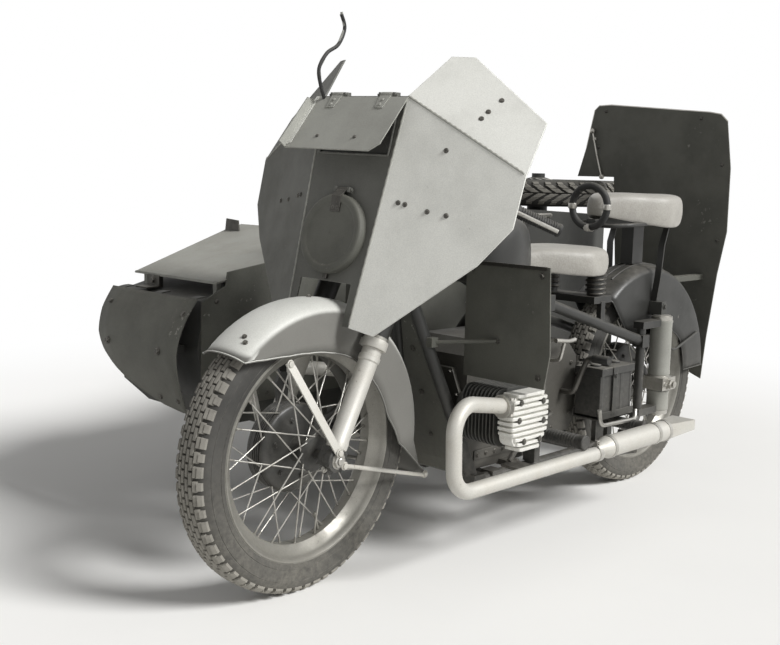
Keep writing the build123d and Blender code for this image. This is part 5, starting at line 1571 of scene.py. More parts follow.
# ------------------------------------------------------------------ tank and saddles
@dataclass
class Tank:
    """The fuel tank: a rounded shell with a filler cap."""

    places: tuple = (655, 659, 668, 685, 705, 735, 765, 795, 825, 855, 880, 900, 914, 926, 932, 935)
    tops: tuple = ((655, 796), (668, 838), (705, 876), (760, 892), (815, 901), (890, 892), (922, 862),
                   (935, 800))
    halves: tuple = ((655, 62), (668, 84), (715, 116), (795, 144), (840, 145), (890, 122), (922, 92),
                     (935, 58))
    bases: tuple = ((655, 712), (668, 701), (860, 701), (905, 724), (935, 770))

    def section(self, x: float) -> Ring:
        """The tank's outline at one place along it.

        Args:
            x: the place.

        Returns:
            Its points.
        """
        half, top, low = between(self.halves, x), between(self.tops, x), between(self.bases, x)
        ring = []
        for k in range(40):
            angle = 2 * pi * k / 40
            c, s = cos(angle), sin(angle)
            power = 0.62 if s > 0 else 0.3
            y = half * abs(c) ** power * (1 if c > 0 else -1)
            middle = low + (top - low) * 0.45
            z = middle + ((top if s > 0 else low) - middle) * abs(s) ** power
            ring.append(Vector((x, y, z)))
        return ring

    def build(self) -> None:
        """The shell and its cap."""
        shell = Workpiece("fuel_tank_shell").skin([self.section(x) for x in self.places])
        shell.make(CHASSIS, FRAME_ENAMEL, 60, slot="field_paint", replaces=["fuel_tank"])
        cap = Workpiece("tank_cap")
        cap.turned((860, 0, 890), UP, [(36, 0), (36, 8), (32, 9), (32, 19), (28, 23), (10, 24.5)], 40)
        for k in range(12):
            turn = radians(30 * k)
            cap.bar([(860 + 32 * cos(turn), 32 * sin(turn), z) for z in (900, 908)], 3, 8)
        cap.make(CHASSIS, BRIGHT_STEEL, 35)


@dataclass
class Saddle:
    """A sprung saddle top of thick hide over a pan, with a sewn welt."""

    name: str
    node: str
    rear: float
    nose: float
    top: float
    half_w: float
    drop: float
    skirt: float  # how far the hide's edge hangs below the pan in the middle

    def outline(self) -> Ring:
        """The saddle's edge in plan.

        Returns:
            A smooth loop at height zero.
        """
        rear, nose, w = self.rear, self.nose, self.half_w
        mid = rear + (nose - rear) * 0.3
        half = [(nose - 4, 24), (nose - 60, 60), (mid + 60, w - 12), (mid, w - 1), (rear + 25, w - 20),
                (rear + 3, w - 72)]
        points = [(x, y, 0) for x, y in half] + [(x, -y, 0) for x, y in reversed(half)]
        return smooth_line(points, 6, loop=True)

    def build(self) -> None:
        """The hide and its welt."""
        edge = self.outline()
        spine_x = (self.rear + 60, self.nose - 70)
        low = self.top - self.drop
        span = self.nose - self.rear
        levels = ((0.14, low - self.skirt + 3), (0.07, low - self.skirt), (0.03, low - self.skirt + 4),
                  (0.0, low + 6), (0.0, low + 22), (0.012, self.top - 26), (0.05, self.top - 14),
                  (0.13, self.top - 6), (0.28, self.top - 2), (0.5, self.top - 0.6), (0.75, self.top - 1.5),
                  (0.94, self.top - 3))
        rings = []
        for share, height in levels:
            ring = []
            for p in edge:
                core = Vector((min(max(p.x, spine_x[0]), spine_x[1]), 0, 0))
                place = p.lerp(core, share)
                nose = max(0.0, (place.x - (self.nose - 110)) / 110)
                tail = max(0.0, (self.rear + 90 - place.x) / 90)
                sink = (12 * nose ** 2 + 3 * tail ** 2) if height > low + 24 else 0
                along = (place.x - self.rear) / span
                front_lift = 1.4 * max(0.0, along - 0.35) ** 1.3 / 0.57
                lift = self.skirt * front_lift + self.skirt * max(0.0, 0.2 - along) * 4
                hang = min(1.0, max(0.0, (low + 30 - height) / 30))
                ring.append(Vector((place.x, place.y, height - sink + lift * hang)))
            rings.append(ring)
        hide = Workpiece(self.name).skin(rings)
        made = hide.make(CHASSIS, SADDLE_HIDE, 70, rounds=1, slot="seat_cover", replaces=[self.node])
        welt = Workpiece(f"{self.name}_welt")
        middle = Vector(((self.rear + self.nose) / 2, 0, 0))
        pan = [p.lerp(middle, 0.12) + UP * (low + 6) for p in edge]
        welt.bar(pan, 6, 8, loop=True)
        welt.make(CHASSIS, DARK_STEEL, 60)


@dataclass
class SaddleFittings:
    """Coil springs, the grab ring and the carrier under the pillion."""

    coil_x: float = 345.0
    coil_y: float = 84.0
    coil_z: tuple[float, float] = (641.0, 719.0)
    coil_r: float = 27.0
    wire_r: float = 4.2
    ring: tuple = (272.0, 0.0, 900.0)
    ring_r: float = 63.0
    ring_bar_r: float = 11.0

    def build(self) -> None:
        """Each of them."""
        dress("saddle_irons", FRAME_ENAMEL)
        coils = Workpiece("saddle_coil_springs")
        low, high = self.coil_z
        turns = 5
        helix = [(self.coil_x + self.coil_r * cos(2 * pi * turns * k / 120),
                  self.coil_y + self.coil_r * sin(2 * pi * turns * k / 120),
                  low + self.wire_r + (high - low - 2 * self.wire_r) * k / 120) for k in range(121)]
        coils.bar(helix, self.wire_r, 10).mirror_too()
        coils.make(CHASSIS, DARK_STEEL, 60, slot="plain_steel")
        ring = Workpiece("grab_ring")
        turns, bar_r = [2 * pi * k / 16 for k in range(16)], self.ring_bar_r - 0.2
        section = [(self.ring_r + bar_r * cos(turn), bar_r * sin(turn)) for turn in turns]
        ring.lathe(self.ring, AHEAD, section, 72)
        ring.make(CHASSIS, BLACK_RUBBER, 60, slot="black_rubber", replaces=["pillion_saddle"])
        clamp = Workpiece("grab_ring_clamp")
        x, _, z = self.ring
        clamp.turned((x - 16, 0, z - self.ring_r - 2), AHEAD, [(12, 0), (12, 22), (10, 25)], 24)
        clamp.turned((x + 9, 0, z - self.ring_r - 2), AHEAD, [(9.5, 0), (9.5, 7), (8, 8.5)], 6)
        for y in (-62, 62):
            clamp.turned((x, y * 1.01, z - 8), UP, [(13, 0), (13.6, 2), (13.6, 14), (13, 16)], 24)
        clamp.make(CHASSIS, BRIGHT_STEEL, 35)
        carrier = Workpiece("pillion_carrier_loop")
        half = [(-70, 96, 852), (190, 96, 846), (236, 60, 842)]
        carrier.bar(rounded(half + mirrored_points(reversed(half)), 50), 6.5, 12)
        for y in (-96, 96):
            leg = [(-40, y * 0.6, 858), (-30, y, 850), (0, y, 780), (4, y * 0.95, 680), (4, y * 0.84, 600)]
            carrier.strap(leg, 22, 5, AHEAD)
        carrier.make(CHASSIS, FRAME_ENAMEL, bevel=0.6)


# ------------------------------------------------------------------ rear of the motorcycle
@dataclass
class SpringUnits:
    """The plunger springs' shrouds, rings and caps, and the final drive."""

    y: float = 112.0
    r: float = 33.0
    low: float = 240.0
    high: float = 555.0
    end_y: float = 151.0

    def build(self) -> None:
        """Dress the units and add their covers."""
        dress("plungers", BRIGHT_STEEL, 1.5)
        shrouds = Workpiece("plunger_shrouds")
        foot = Vector((0, self.y, 0))
        r = self.r
        for low, high in ((self.low + 12, 316), (366, self.high - 12)):
            sleeve = [(0.3, low), (1.8, low + 2), (1.8, low + 12), (1, low + 15), (1, high - 10),
                      (2.6, high - 7), (2.6, high - 1), (0.3, high)]
            shrouds.turned(foot, UP, [(r + swell, z) for swell, z in sleeve], 48)
        shrouds.mirror_too()
        shrouds.make(CHASSIS, BODY_PAINT, 35, slot="plain_steel")
        caps = Workpiece("plunger_caps")
        caps.turned(foot, UP, [(r - 6, self.high - 1), (r - 6, self.high + 3), (14, self.high + 5)], 40)
        caps.turned(foot, UP, [(12, self.low - 9), (15, self.low - 7), (15, self.low + 1)], 6)
        ring = [(r + 0.5, -24), (r + 4.5, -22), (r + 4.5, 22), (r + 0.5, 24)]
        caps.turned((0, self.y, AXLE_Z), UP, ring, 48)
        caps.turned((0, self.end_y, AXLE_Z), ACROSS, [(19, -0.5), (19, 3)], 32)
        caps.turned((0, self.end_y + 2, AXLE_Z), ACROSS, [(16, 0), (16, 9), (14, 11)], 6)
        caps.bolt((26, self.end_y, AXLE_Z), ACROSS, 11)
        caps.mirror_too()
        caps.make(CHASSIS, BRIGHT_STEEL, 35, slot="plain_steel")
        drive = Workpiece("final_drive_housing")
        bell = [(70, 0), (74, 3), (74, 10), (69, 14), (66, 40), (56, 58), (36, 70), (22, 74)]
        drive.turned((0, -66, AXLE_Z), -ACROSS, bell, 56)
        drive.turned((60, -74, AXLE_Z), AHEAD, [(24, -6), (22, 18), (16, 34), (15, 70)], 32)
        drive.make(CHASSIS, DARK_ALLOY, 40, bevel=1.0, slot="cast_alloy")
        bolts = Workpiece("final_drive_bolts")
        for k in range(8):
            turn = radians(45 * k + 22)
            bolts.bolt((70 * cos(turn), -77, AXLE_Z + 70 * sin(turn)), -ACROSS, 9, 4)
        bolts.turned((130, -74, AXLE_Z), AHEAD, [(17, 0), (19, 3), (19, 40), (17, 43)], 32)
        bolts.make(CHASSIS, DARK_STEEL, 35)


@dataclass
class Battery:
    """A ribbed battery in its tray with a lid, a strap and a trim bar below."""

    low: tuple = (284.0, 102.0, 300.0)
    high: tuple = (450.0, 190.0, 448.0)
    tray_z: float = 292.0

    def build(self) -> None:
        """The case, lid, tray and strap."""
        (x0, y0, z0), (x1, y1, z1) = self.low, self.high
        case = Workpiece("battery_case_ribbed")
        ring: list[tuple[float, float]] = []
        for k in range(3):
            x = x0 + 6 + (x1 - x0 - 12) * k / 3
            ring += [(x, y1), (x + 6, y1), (x + 8, y1 - 2.2), (x + 43, y1 - 2.2), (x + 45, y1), (x + 51, y1)]
        outline = [(x0, y0), (x1, y0), (x1, y1 - 3)] + [(x, y) for x, y in reversed(ring)] + [(x0, y1 - 3)]
        case.slab([(x, y, z0 + 2) for x, y in outline], UP * (z1 - z0 - 26))
        case.block((x0 - 3, y0 - 3, z1 - 26), (x1 + 3, y1 + 4, z1 - 4))
        for k in range(3):
            case.turned((x0 + 32 + 50 * k, (y0 + y1) / 2, z1 - 5), UP, [(16, 0), (16, 5), (13, 8)], 24)
        case.make(CHASSIS, BATTERY_CASE, bevel=1.4, slot="battery_case", replaces=["battery"])
        tray = Workpiece("battery_tray")
        floor = self.tray_z
        tray.block((x0 - 4, y0 - 4, floor), (x1 + 4, y1 + 4, floor + 4))
        for y in (y0 - 4, y1 + 2):
            corners = ((x0 - 4, floor), (x1 + 4, floor), (x1 + 4, floor + 24), (x0 - 4, floor + 24))
            tray.slab([(x, y, z) for x, z in corners], ACROSS * 2)
        tray.block((330, 112, 206.3), (372, 128, floor + 1))
        strap_x = (x0 + x1) / 2 + 20
        route = ((y1 + 3, floor + 4), (y1 + 6, 330), (y1 + 6, z1 - 3), (y1 - 6, z1 + 3), (y0 + 6, z1 + 3),
                 (y0 - 5, z1 - 6), (y0 - 5, floor + 4))
        strap = [(strap_x, y, z) for y, z in route]
        for part, face in ((strap[:3], ACROSS), (strap[3:5], UP), (strap[5:], ACROSS)):
            tray.strap(part, 22, 2.5, face)
        tray.bolt((strap_x, y1 + 7, 420), ACROSS, 12)
        tray.make(CHASSIS, FRAME_ENAMEL, bevel=0.8)
        trim = Workpiece("battery_trim_bar")
        run = [(x1 + 22, y1 + 12, 330), (x1 + 12, y1 + 12, 282), (x0 - 6, y1 + 12, 276),
               (x0 - 22, y1 + 2, 300)]
        trim.bar(rounded(run, 40), 6, 12)
        trim.make(CHASSIS, BRIGHT_STEEL, 60, slot="plain_steel")


@dataclass
class Footrests:
    """Ribbed rubbers over the driver's and the passenger's pegs."""

    rows: tuple = ((690.0, 290.0, 152.0, 305.0, 16.0), (300.0, 262.0, 132.0, 250.0, 14.0))

    def build(self) -> None:
        """Each rubber with its end cap."""
        dress("footrests", FRAME_ENAMEL, 1.2)
        rubbers = Workpiece("footrest_rubbers")
        for x, z, inner, outer, r in self.rows:
            profile = [(r + 0.4, 0), (r + 3.4, 2), (r + 3.4, 8)]
            count = int((outer - inner - 22) / 9)
            for k in range(count):
                at = 10 + k * 9.0
                profile += [(r + 0.8, at), (r + 0.8, at + 2.4), (r + 3.0, at + 3.2), (r + 3.0, at + 8.0)]
            length = outer - inner
            profile += [(r + 3.4, length - 9), (r + 4.4, length - 6), (r + 4.4, length),
                        (r + 2, length + 2.5)]
            rubbers.turned((x, inner, z), ACROSS, profile, 32)
        rubbers.mirror_too()
        rubbers.make(CHASSIS, BLACK_RUBBER, 40, slot="black_rubber")


@dataclass
class RearPlate:
    """Rivets, folded top edge with a painted highlight, and the ball-ended stay of the back plate."""

    x: float = -430.0
    outline: tuple = ((0, 1222), (45, 1214), (70, 1190), (92, 1030), (94, 812), (68, 664), (42, 438),
                      (30, 286), (-38, 312), (-330, 420), (-372, 990), (-534, 990), (-500, 1100),
                      (-470, 1238), (-452, 1254), (-400, 1256))

    def build(self) -> None:
        """Dress the plate and add what is on it."""
        # The plate's dark paint is painted shade.
        dress("rear_plate", SHADED_PLATE_PAINT, 0.8)
        # A bright steel bar along the top edge paints its highlight.
        edge = Workpiece("rear_plate_top_edge_highlight")
        top = self.outline[12:] + self.outline[:3]
        edge.bar([(self.x - 2, y, z - 1.5) for y, z in top], 2.6, 8)
        edge.make(CHASSIS, BRIGHT_STEEL, 60, slot="field_paint")
        rivets = Workpiece("rear_plate_rivets")
        for y, z in ((-420, 1232), (-30, 1200), (-446, 1100), (60, 1040), (0, 646), (0, 446), (-330, 560),
                     (60, 780)):
            rivets.rivet((self.x, y, z), AHEAD, 6.5)
            rivets.rivet((self.x - 4, y, z), -AHEAD, 6.5)
        rivets.make(CHASSIS, DARK_STEEL, 60)
        stay = Workpiece("rear_plate_stay")
        stay.bar([(self.x + 9, -469, 1157), (self.x + 8, -446, 1068), (self.x + 7, -423, 992)], 3.2, 10)
        turns = [radians(a) for a in range(-70, 80, 14)]
        ball = [(3.01, -9.5)] + [(10 * cos(turn), 10 * sin(turn)) for turn in turns] + [(0.5, 10)]
        stay.turned((self.x + 10, -469, 1160), UP, ball, 28)
        stay.turned((self.x, -423, 990), AHEAD, [(9, 0), (9, 8), (6, 10)], 20)
        stay.turned((self.x, -462, 1130), AHEAD, [(7, 0), (7, 6), (5, 8)], 20)
        stay.make(CHASSIS, BRIGHT_STEEL, 60)


# ------------------------------------------------------------------ sidecar
@dataclass
class SidecarOutfit:
    """What is fixed to the sidecar's body and plates."""

    in_y: float = -430.0
    out_y: float = -930.0
    well: tuple[float, float] = (60.0, 800.0)
    side_plate_y: float = -425.7
    top_front: tuple[float, float] = (1350.0, 688.0)  # X and Z of the sloping top plate's edges
    top_rear: tuple[float, float] = (880.0, 810.0)

    def build(self) -> None:
        """The plates' finishes, beading, rivets, tabs and handles."""
        # The tub's black and the side plate's dark paint are painted shade.
        for node, finish, bevel in (("sidecar_body", DARK_PAINT, 2.0), ("sidecar_top_plate", BODY_PAINT, 0.8),
                                    ("sidecar_side_plate", SHADED_PLATE_PAINT, 0.8),
                                    ("sidecar_frame", FRAME_ENAMEL, 1.5),
                                    ("sidecar_struts", FRAME_ENAMEL, 1.0),
                                    ("spare_mount", FRAME_ENAMEL, 1.2)):
            dress(node, finish, bevel)
        self.make_nose_plate()
        self.make_beading()
        self.make_rivets()
        self.make_tabs()

    def make_nose_plate(self) -> None:
        """The rolled plate across the nose, cut round at its lower outer corner, on two stand-offs."""
        profile = [(1419, 651), (1452, 604), (1476, 553), (1486, 509), (1483, 463), (1470, 405), (1452, 352)]
        ends = [(352, -440), (362, -520), (380, -585), (405, -660), (440, -722), (480, -765), (530, -798),
                (590, -818), (651, -824)]
        rows = []
        for x, y, z in smooth_line([(x, 0, z) for x, z in profile], 4):
            reach = between(ends, z)
            rows.append([Vector((x, reach + (-420 - reach) * k / 8, z)) for k in range(9)])
        plate = Workpiece("nose_plate_rolled").skin(rows, closed=False, caps=False)
        # The nose plate's dark paint is painted shade.
        plate.make(CHASSIS, SHADED_PLATE_PAINT, 60, sheet=4.0, slot="field_paint", replaces=["sidecar_nose_plate"])
        stays = Workpiece("nose_plate_stays")
        for y in (-745, -500):
            stays.block((1410, y - 12, 500), (1481, y + 12, 520))
        for y in (-780, -600, -440):
            stays.strap([(1419, y, 650), (1403, y, 653), (1387, y, 654)], 30, 3, UP)
        stays.make(CHASSIS, DARK_PAINT, bevel=0.8)

    def make_beading(self) -> None:
        """A dark rubber beading round the cockpit's edge."""
        rear, front = self.well
        bead = Workpiece("cockpit_beading")
        inner, outer = self.in_y - 4, self.out_y + 4
        loop = rounded([(rear - 4, -680, 776), (rear - 4, inner, 776), (front + 4, inner, 746),
                        (front + 4, outer, 746), (rear - 4, outer, 776), (rear - 4, -681, 776)], 30)
        bead.bar(loop[:-1], 8, 12, loop=True)
        bead.make(CHASSIS, BLACK_RUBBER, 60, slot="black_rubber")
        rail = Workpiece("cockpit_grab_rail")
        rail.bar(rounded([(770, -560, 740), (770, -560, 800), (770, -790, 800), (770, -790, 740)], 30), 8, 14)
        rail.make(CHASSIS, BRIGHT_STEEL, 60, slot="plain_steel")
        handle = Workpiece("sidecar_side_handle")
        handle.bar(rounded([(-90, -424, 838), (-90, -400, 852), (60, -400, 852), (60, -424, 800)], 16), 6, 12)
        for x, z in ((-90, 838), (60, 796)):
            handle.turned((x, -430, z), ACROSS, [(14, 0), (14, 4), (11, 6)], 24)
        handle.make(CHASSIS, BRIGHT_STEEL, 60)

    def make_rivets(self) -> None:
        """Rivets along the plates' edges and down the tub's sides."""
        rivets = Workpiece("sidecar_rivets")
        for x in range(340, 1380, 105):
            rivets.rivet((x, self.side_plate_y, 372), ACROSS, 6)
            if x < 1180:
                rivets.rivet((x, self.side_plate_y, 716), ACROSS, 6)
        rivets.rivet((1352, self.side_plate_y, 640), ACROSS, 7)
        for x in range(-420, 860, 116):
            for z in (330, 725):
                rivets.rivet((x, self.out_y, z), -ACROSS, 5)
        for z in (430, 560, 680):
            for y in (-560, -760):
                rivets.rivet((-560, y, z), -AHEAD, 5)
        rivets.make(CHASSIS, DARK_STEEL, 60)
        bolts = Workpiece("nose_plate_bolts")
        for x, z, ends, out, across, head in ((1487, 510, (-745, -500), (0.98, 0, 0.17), 14, 6),
                                              (1447, 612, (-790, -440), (0.82, 0, 0.57), 11, 5),
                                              (1463, 384, (-520, -440), (0.96, 0, -0.26), 11, 5)):
            for y in ends:
                bolts.bolt((x, y, z), out, across, head)
        bolts.make(CHASSIS, DARK_STEEL)

    def on_top_plate(self, x: float, y: float, lift: float = 0.0) -> Vector:
        """A point on the top plate's upper face, or straight above it."""
        return Vector((x, y, between((self.top_rear, self.top_front), x) + lift))

    def make_tabs(self) -> None:
        """The top plate's stepped tab, edge strip and rolled lip, and the brackets at its corners."""
        tabs = Workpiece("top_plate_tabs")
        (front_x, front_z), (rear_x, rear_z) = self.top_front, self.top_rear
        slope = (rear_z - front_z) / (front_x - rear_x)
        for x0, x1, y0, y1 in ((1150, 1240, -455, -436), (1060, 1150, -475, -436)):
            corners = ((x0, y0), (x1, y0), (x1, y1), (x0, y1))
            tabs.slab([self.on_top_plate(x, y) for x, y in corners], UP * 3)
        tabs.strap([self.on_top_plate(x, -436, 0.8) for x in (front_x - 5, rear_x)], 20, 2, (slope, 0, 1))
        tabs.bar([self.on_top_plate(front_x - 2, y, 0.2) for y in (-445, -818)], 2.2, 10)
        tabs.make(CHASSIS, BODY_PAINT, bevel=0.8, slot="field_paint")
        bracket = Workpiece("top_plate_bracket")
        bracket.block((1338, -752, 655), (1352, -694, 687)).block((1338, -752, 651), (1392, -694, 656))
        bracket.bolt((1352, -723, 672), AHEAD, 15, 7)
        bracket.slab([(950, -925, 788), (950, -852, 788), (950, -856, 826), (950, -918, 830)], AHEAD * -4)
        bracket.make(CHASSIS, DARK_STEEL, bevel=1.0)
        clamps = Workpiece("sidecar_mount_clamps")
        for x in (850, 180, 620):
            clamps.lathe((x, -462, 215), AHEAD, [(22.6, -16), (27, -14), (27, 14), (22.6, 16)], 40)
            clamps.bolt((x, -446, 240), Vector((0, 0.4, 0.9)), 11)
        clamps.make(CHASSIS, FRAME_ENAMEL, 35)


@dataclass
class SeatPad:
    """A stuffed cushion of the sidecar's seat, swelled by cloth pressure."""

    name: str
    low: tuple
    high: tuple
    channels: int
    cap_mm: float = 12.0
    start_in: float = 10.0  # how far inside its space it starts
    lean: float = 0.0  # how far the top stands back

    def form(self) -> bpy.types.Object:
        """The cushion before it swells: a soft-cornered box with sewn channels across it.

        Returns:
            The cushion's object.
        """
        pad = Workpiece(self.name)
        x0, y0, z0 = (a + self.start_in for a in self.low)
        x1, y1, z1 = (a - self.start_in for a in self.high)
        steps = 28
        rings = []
        for k in range(steps + 1):
            y = y0 + (y1 - y0) * k / steps
            close = min(k, steps - k)
            pinch = (10, 3, 0)[min(close, 2)]
            groove = 7 * max(0.0, cos(2 * pi * self.channels * k / steps)) ** 6 if 1 < k < steps - 1 else 0
            a, b, c, d = x0 + pinch, x1 - pinch, z0 + pinch, z1 - pinch - groove
            back = self.lean
            corners = [(a, c), (b, c), (b - back, d), (a - back * 0.2, d)]
            ring = []
            for (px, pz), (qx, qz) in zip(corners, corners[1:] + corners[:1]):
                ring += [Vector((px + (qx - px) * t / 8, y, pz + (qz - pz) * t / 8)) for t in range(8)]
            rings.append(ring)
        pad.skin(rings)
        return pad.make(CHASSIS, SEAT_CLOTH, 80, slot="seat_cover", replaces=["sidecar_seat"])

    def build(self) -> None:
        """Swell the form under pressure, hold it in its space and smooth it."""
        made = self.form()
        self.swell(made)
        subdivision = made.modifiers.new("rounding", "SUBSURF")
        subdivision.levels = subdivision.render_levels = 1

    def swell(self, made: bpy.types.Object) -> None:
        """Remesh the form, run the cloth and keep the result as its mesh.

        Args:
            made: the cushion's object.
        """
        scene = bpy.context.scene
        remesh = made.modifiers.new("remesh", "REMESH")
        remesh.mode, remesh.voxel_size = "VOXEL", 6 * MM
        self.keep(made)
        before = [v.co.copy() for v in made.data.vertices]
        cloth = made.modifiers.new("swell", "CLOTH")
        cloth.settings.use_pressure = True
        cloth.settings.uniform_pressure_force = 4.0
        cloth.settings.effector_weights.gravity = 0.0
        cloth.settings.quality = 5
        for number in range(1, 21):
            scene.frame_set(number)
        self.keep(made)
        for vertex, start in zip(made.data.vertices, before):
            move = vertex.co - start
            if move.length > self.cap_mm * MM:
                vertex.co = start + move.normalized() * self.cap_mm * MM
        scene.frame_set(1)

    def keep(self, made: bpy.types.Object) -> None:
        """Replace the mesh by what its modifiers give, and clear them.

        Args:
            made: the cushion's object.
        """
        seen = bpy.context.evaluated_depsgraph_get()
        mesh = bpy.data.meshes.new_from_object(made.evaluated_get(seen))
        made.modifiers.clear()
        made.data = mesh
        mesh.shade_smooth()


# ------------------------------------------------------------------ plates and frame
@dataclass
class FrameFittings:
    """Finishes and small pieces of the frame, leg shields and engine guard."""

    leg_plate_x: float = 948.0
    guard_face: tuple = ((190.0, 925.0), (726.0, 1102.0))  # Z and X of the engine guard's ends

    def build(self) -> None:
        """Dress the frame's nodes and add bolts and levers."""
        # The leg shields and the engine guard take the dark paint as painted shade.
        for node, finish, bevel in (("frame", FRAME_ENAMEL, 1.5), ("leg_shields", SHADED_PLATE_PAINT, 0.8),
                                    ("engine_guard", SHADED_PLATE_PAINT, 0.8)):
            dress(node, finish, bevel)
        bolts = Workpiece("leg_shield_bolts")
        for y, z in ((112, 752), (200, 576), (330, 750), (330, 500)):
            bolts.bolt((self.leg_plate_x, y, z), AHEAD, 11, 5)
        bolts.strap([(self.leg_plate_x + 0.5, y, 768) for y in (104, 344)], 10, 3, AHEAD)
        bolts.mirror_too()
        for z in (300, 420, 540):
            bolts.bolt((between(self.guard_face, z) + 4, 0, z), Vector((0.95, 0, -0.31)), 10, 4)
        bolts.make(CHASSIS, DARK_STEEL)
        lever = Workpiece("hand_shift_lever")
        lever.bar(rounded([(566, 84, 468), (566, 124, 474), (556, 131, 529)], 12), 5, 12)
        knob = [(600, 131, 534), (572, 132, 531), (540, 132, 527), (508, 131, 529)]
        lever.bar(smooth_line(knob, 4), 6.5, 12)
        lever.make(CHASSIS, BRIGHT_STEEL, 60, slot="plain_steel")
        stand = Workpiece("centre_stand")
        stand.bar(rounded([(420, 126, 178), (380, 128, 160), (200, 132, 150), (176, 150, 152)], 20), 9, 14)
        stand.mirror_too()
        stand.bar([(260, -128, 156), (260, 128, 156)], 8, 12)
        stand.make(CHASSIS, FRAME_ENAMEL, 60)


# ------------------------------------------------------------------ studio
@dataclass
class Studio:
    """The camera, the lamps, the pale floor and the white surround."""

    eye: tuple = (3054.0, 1872.0, 993.0)
    yaw: float = 224.23
    pitch: float = 8.02
    roll: float = 1.41
    focal_px: float = 1077.0
    picture_px: float = 780.0
    sensor_mm: float = 36.0
    ambient: float = 0.26
    floor_middle: tuple = (490.0, -371.0, 0.0)
    floor_half_m: float = 14.0

    def build(self) -> None:
        """Set it all up."""
        scene = bpy.context.scene
        scene.view_settings.view_transform = "Standard"
        self.make_camera(scene)
        self.make_world(scene)
        self.make_floor()
        self.make_sun("key_sun", (-0.24, 0.76, 0.60), 3.8, radians(20))
        self.make_sun("fill_sun", (0.8, 0.1, 0.5), 0.12, radians(80))

    def make_camera(self, scene: bpy.types.Scene) -> None:
        """The camera, by its place and its three turns.

        Args:
            scene: the scene it looks at.
        """
        yaw, pitch, roll = radians(self.yaw), radians(self.pitch), radians(self.roll)
        ahead = Vector((cos(pitch) * cos(yaw), cos(pitch) * sin(yaw), -sin(pitch)))
        right = ahead.cross(UP).normalized()
        above = right.cross(ahead)
        across = right * cos(roll) + above * sin(roll)
        upward = above * cos(roll) - right * sin(roll)
        data = bpy.data.cameras.new("camera")
        data.sensor_width = self.sensor_mm
        data.lens = self.focal_px / self.picture_px * self.sensor_mm
        data.clip_end = 100.0
        camera = bpy.data.objects.new("camera", data)
        scene.collection.objects.link(camera)
        turn = Matrix((across, upward, -ahead)).transposed().to_4x4()
        camera.matrix_world = Matrix.Translation(ORIGIN + Vector(self.eye) * MM) @ turn
        scene.camera = camera

    def make_sun(self, name: str, toward: Point, strength: float, spread: float) -> None:
        """A soft sun.

        Args:
            name: its name.
            toward: the way from the object to the lamp.
            strength: its strength.
            spread: the angle that its disc fills.
        """
        data = bpy.data.lights.new(name, "SUN")
        data.energy, data.angle = strength, spread
        lamp = bpy.data.objects.new(name, data)
        lamp.rotation_euler = Vector(toward).to_track_quat("Z", "Y").to_euler()
        bpy.context.scene.collection.objects.link(lamp)

    def make_world(self, scene: bpy.types.Scene) -> None:
        """A white surround for the eye and for reflections, and a soft dim light from all round.

        Args:
            scene: the scene it surrounds.
        """
        world = bpy.data.worlds.new("surround")
        world.use_nodes = True
        scene.world = world
        tree = world.node_tree
        tree.nodes.clear()
        rays = add_node(tree, "LightPath").node.outputs
        seen = add_node(tree, "Math", {"operation": "MAXIMUM"}, i0=rays["Is Camera Ray"],
                        i1=rays["Is Transmission Ray"])
        glossy = add_node(tree, "Math", {"operation": "MULTIPLY"}, i0=rays["Is Glossy Ray"], i1=0.75)
        seen = add_node(tree, "Math", {"operation": "MAXIMUM"}, i0=seen, i1=glossy)
        level = add_node(tree, "MapRange", i0=seen, i1=0.0, i2=1.0, i3=self.ambient, i4=1.0)
        light = add_node(tree, "Background", Color=(1, 1, 1, 1), Strength=level)
        add_node(tree, "OutputWorld", Surface=light)

    def make_floor(self) -> None:
        """A plain pale floor that fades to white far off."""
        mesh = bpy.data.meshes.new("floor")
        far = self.floor_half_m
        centre = ORIGIN + Vector(self.floor_middle) * MM
        corners = ((-1, -1), (1, -1), (1, 1), (-1, 1))
        mesh.from_pydata([centre + Vector((x * far, y * far, -0.0006)) for x, y in corners], [],
                         [(0, 1, 2, 3)])
        material = bpy.data.materials.new("matt_floor_paint")
        material.use_nodes = True
        tree = material.node_tree
        shader = tree.nodes["Principled BSDF"]
        where = add_node(tree, "TexCoord", out="Object")
        cloud = add_node(tree, "TexNoise", Vector=where, Scale=1.5, Detail=4.0)
        colour = add_node(tree, "Mix", {"data_type": "RGBA"}, out=2, i0=cloud, i6=linear("#f4f3f0"),
                          i7=linear("#eeedea"))
        tree.links.new(colour, shader.inputs["Base Color"])
        far_off = add_node(tree, "VectorMath", {"operation": "DISTANCE"}, out="Value", i0=where, i1=centre)
        white = add_node(tree, "MapRange", {"interpolation_type": "SMOOTHSTEP"}, i0=far_off, i1=1.3, i2=3.4)
        looked_at = add_node(tree, "LightPath", out="Is Camera Ray")
        seen = add_node(tree, "Math", {"operation": "MULTIPLY"}, i0=looked_at, i1=white)
        glow = add_node(tree, "Emission", Color=(1, 1, 1, 1), Strength=1.0)
        blend = add_node(tree, "MixShader", i0=seen, i1=shader.outputs[0], i2=glow)
        tree.links.new(blend, tree.nodes["Material Output"].inputs["Surface"])
        shader.inputs["Roughness"].default_value = 0.9
        mesh.materials.append(material)
        floor = bpy.data.objects.new("floor", mesh)
        bpy.context.scene.collection.objects.link(floor)


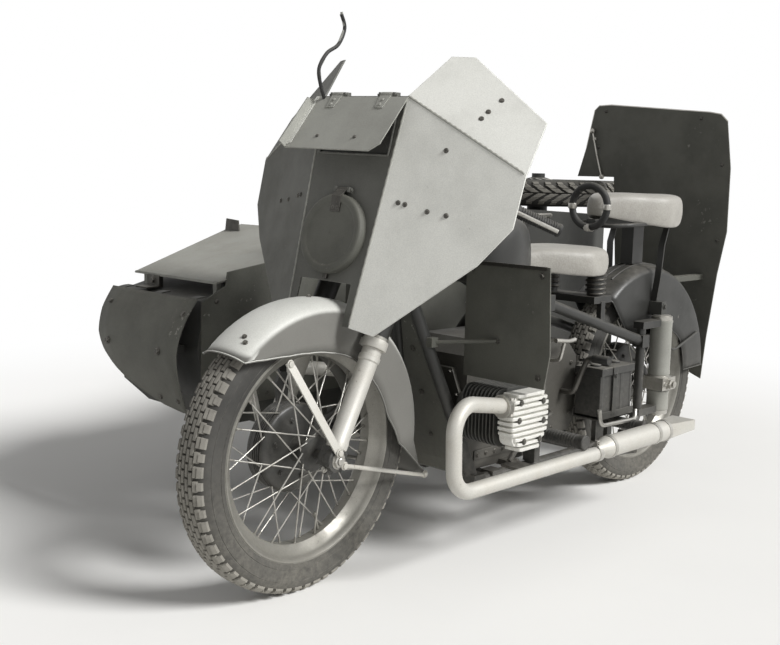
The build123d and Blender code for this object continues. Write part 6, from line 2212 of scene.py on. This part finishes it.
# ------------------------------------------------------------------ everything
def main() -> None:
    """Build the whole outfit."""
    Studio().build()
    wheels = [SpokedWheel("front", FRONT_AXLE, "front_wheel"), SpokedWheel("rear", REAR_AXLE, "rear_wheel"),
              SpokedWheel("sidecar", SIDE_AXLE, "sidecar_wheel"),
              SpokedWheel("spare", Vector((-450, -735, 925)), CHASSIS, axis=UP.copy(), tread=Tread.CHEVRON)]
    front_depths = [(46, 20), (50, 40), (55, 62), (61, 80), (67, 95), (79, 112), (94, 122), (112, 124),
                    (137, 132), (166, 126), (184, 84)]
    guards = [Mudguard("front_guard_sheet", FRONT_AXLE, STEERING, "front_mudguard", 361, 46, 184,
                       front_depths, half_w=70, shoulder=32, tail=108, tail_depths=((0, 80), (1, 2)),
                       finish=GUARD_PAINT),
              Mudguard("rear_guard_sheet", REAR_AXLE, CHASSIS, "rear_mudguard", 376, 50, 178,
                       [(50, 170), (62, 188), (120, 188), (150, 150), (178, 150)], half_w=72,
                       finish=FRAME_ENAMEL),
              Mudguard("sidecar_guard_sheet", SIDE_AXLE, CHASSIS, "sidecar_mudguard", 372, 38, 172,
                       [(38, 60), (172, 60)], half_w=69.5)]
    pieces = [*wheels, *guards, FrontGuardFittings(), RearGuardFittings(), Fork(), Handlebar(), Shield(),
              Flap(), Headlamp(), Engine(), Cylinder("cylinder_left", 925, 1),
              Cylinder("cylinder_right", 885, -1), Exhaust("exhaust_left", 1, 1000.3),
              Exhaust("exhaust_right", -1, 960.3), Tank(),
              Saddle("driver_saddle_hide", "driver_saddle", 315, 640, 788, 142, 68, 16),
              Saddle("pillion_saddle_hide", "pillion_saddle", -100, 250, 942, 140, 80, 26), SaddleFittings(),
              SpringUnits(), Battery(), Footrests(), RearPlate(), SidecarOutfit(),
              SeatPad("sidecar_seat_cushion", (110, -882, 420), (540, -478, 500), 4),
              SeatPad("sidecar_seat_back", (60.5, -882, 501), (150, -478, 800), 4, lean=45.0),
              FrameFittings()]
    for piece in pieces:
        LOG.info("building %s", type(piece).__name__)
        piece.build()


if __name__ == "__main__":
    logging.basicConfig(level=logging.INFO, format="%(name)s: %(message)s")
    main()
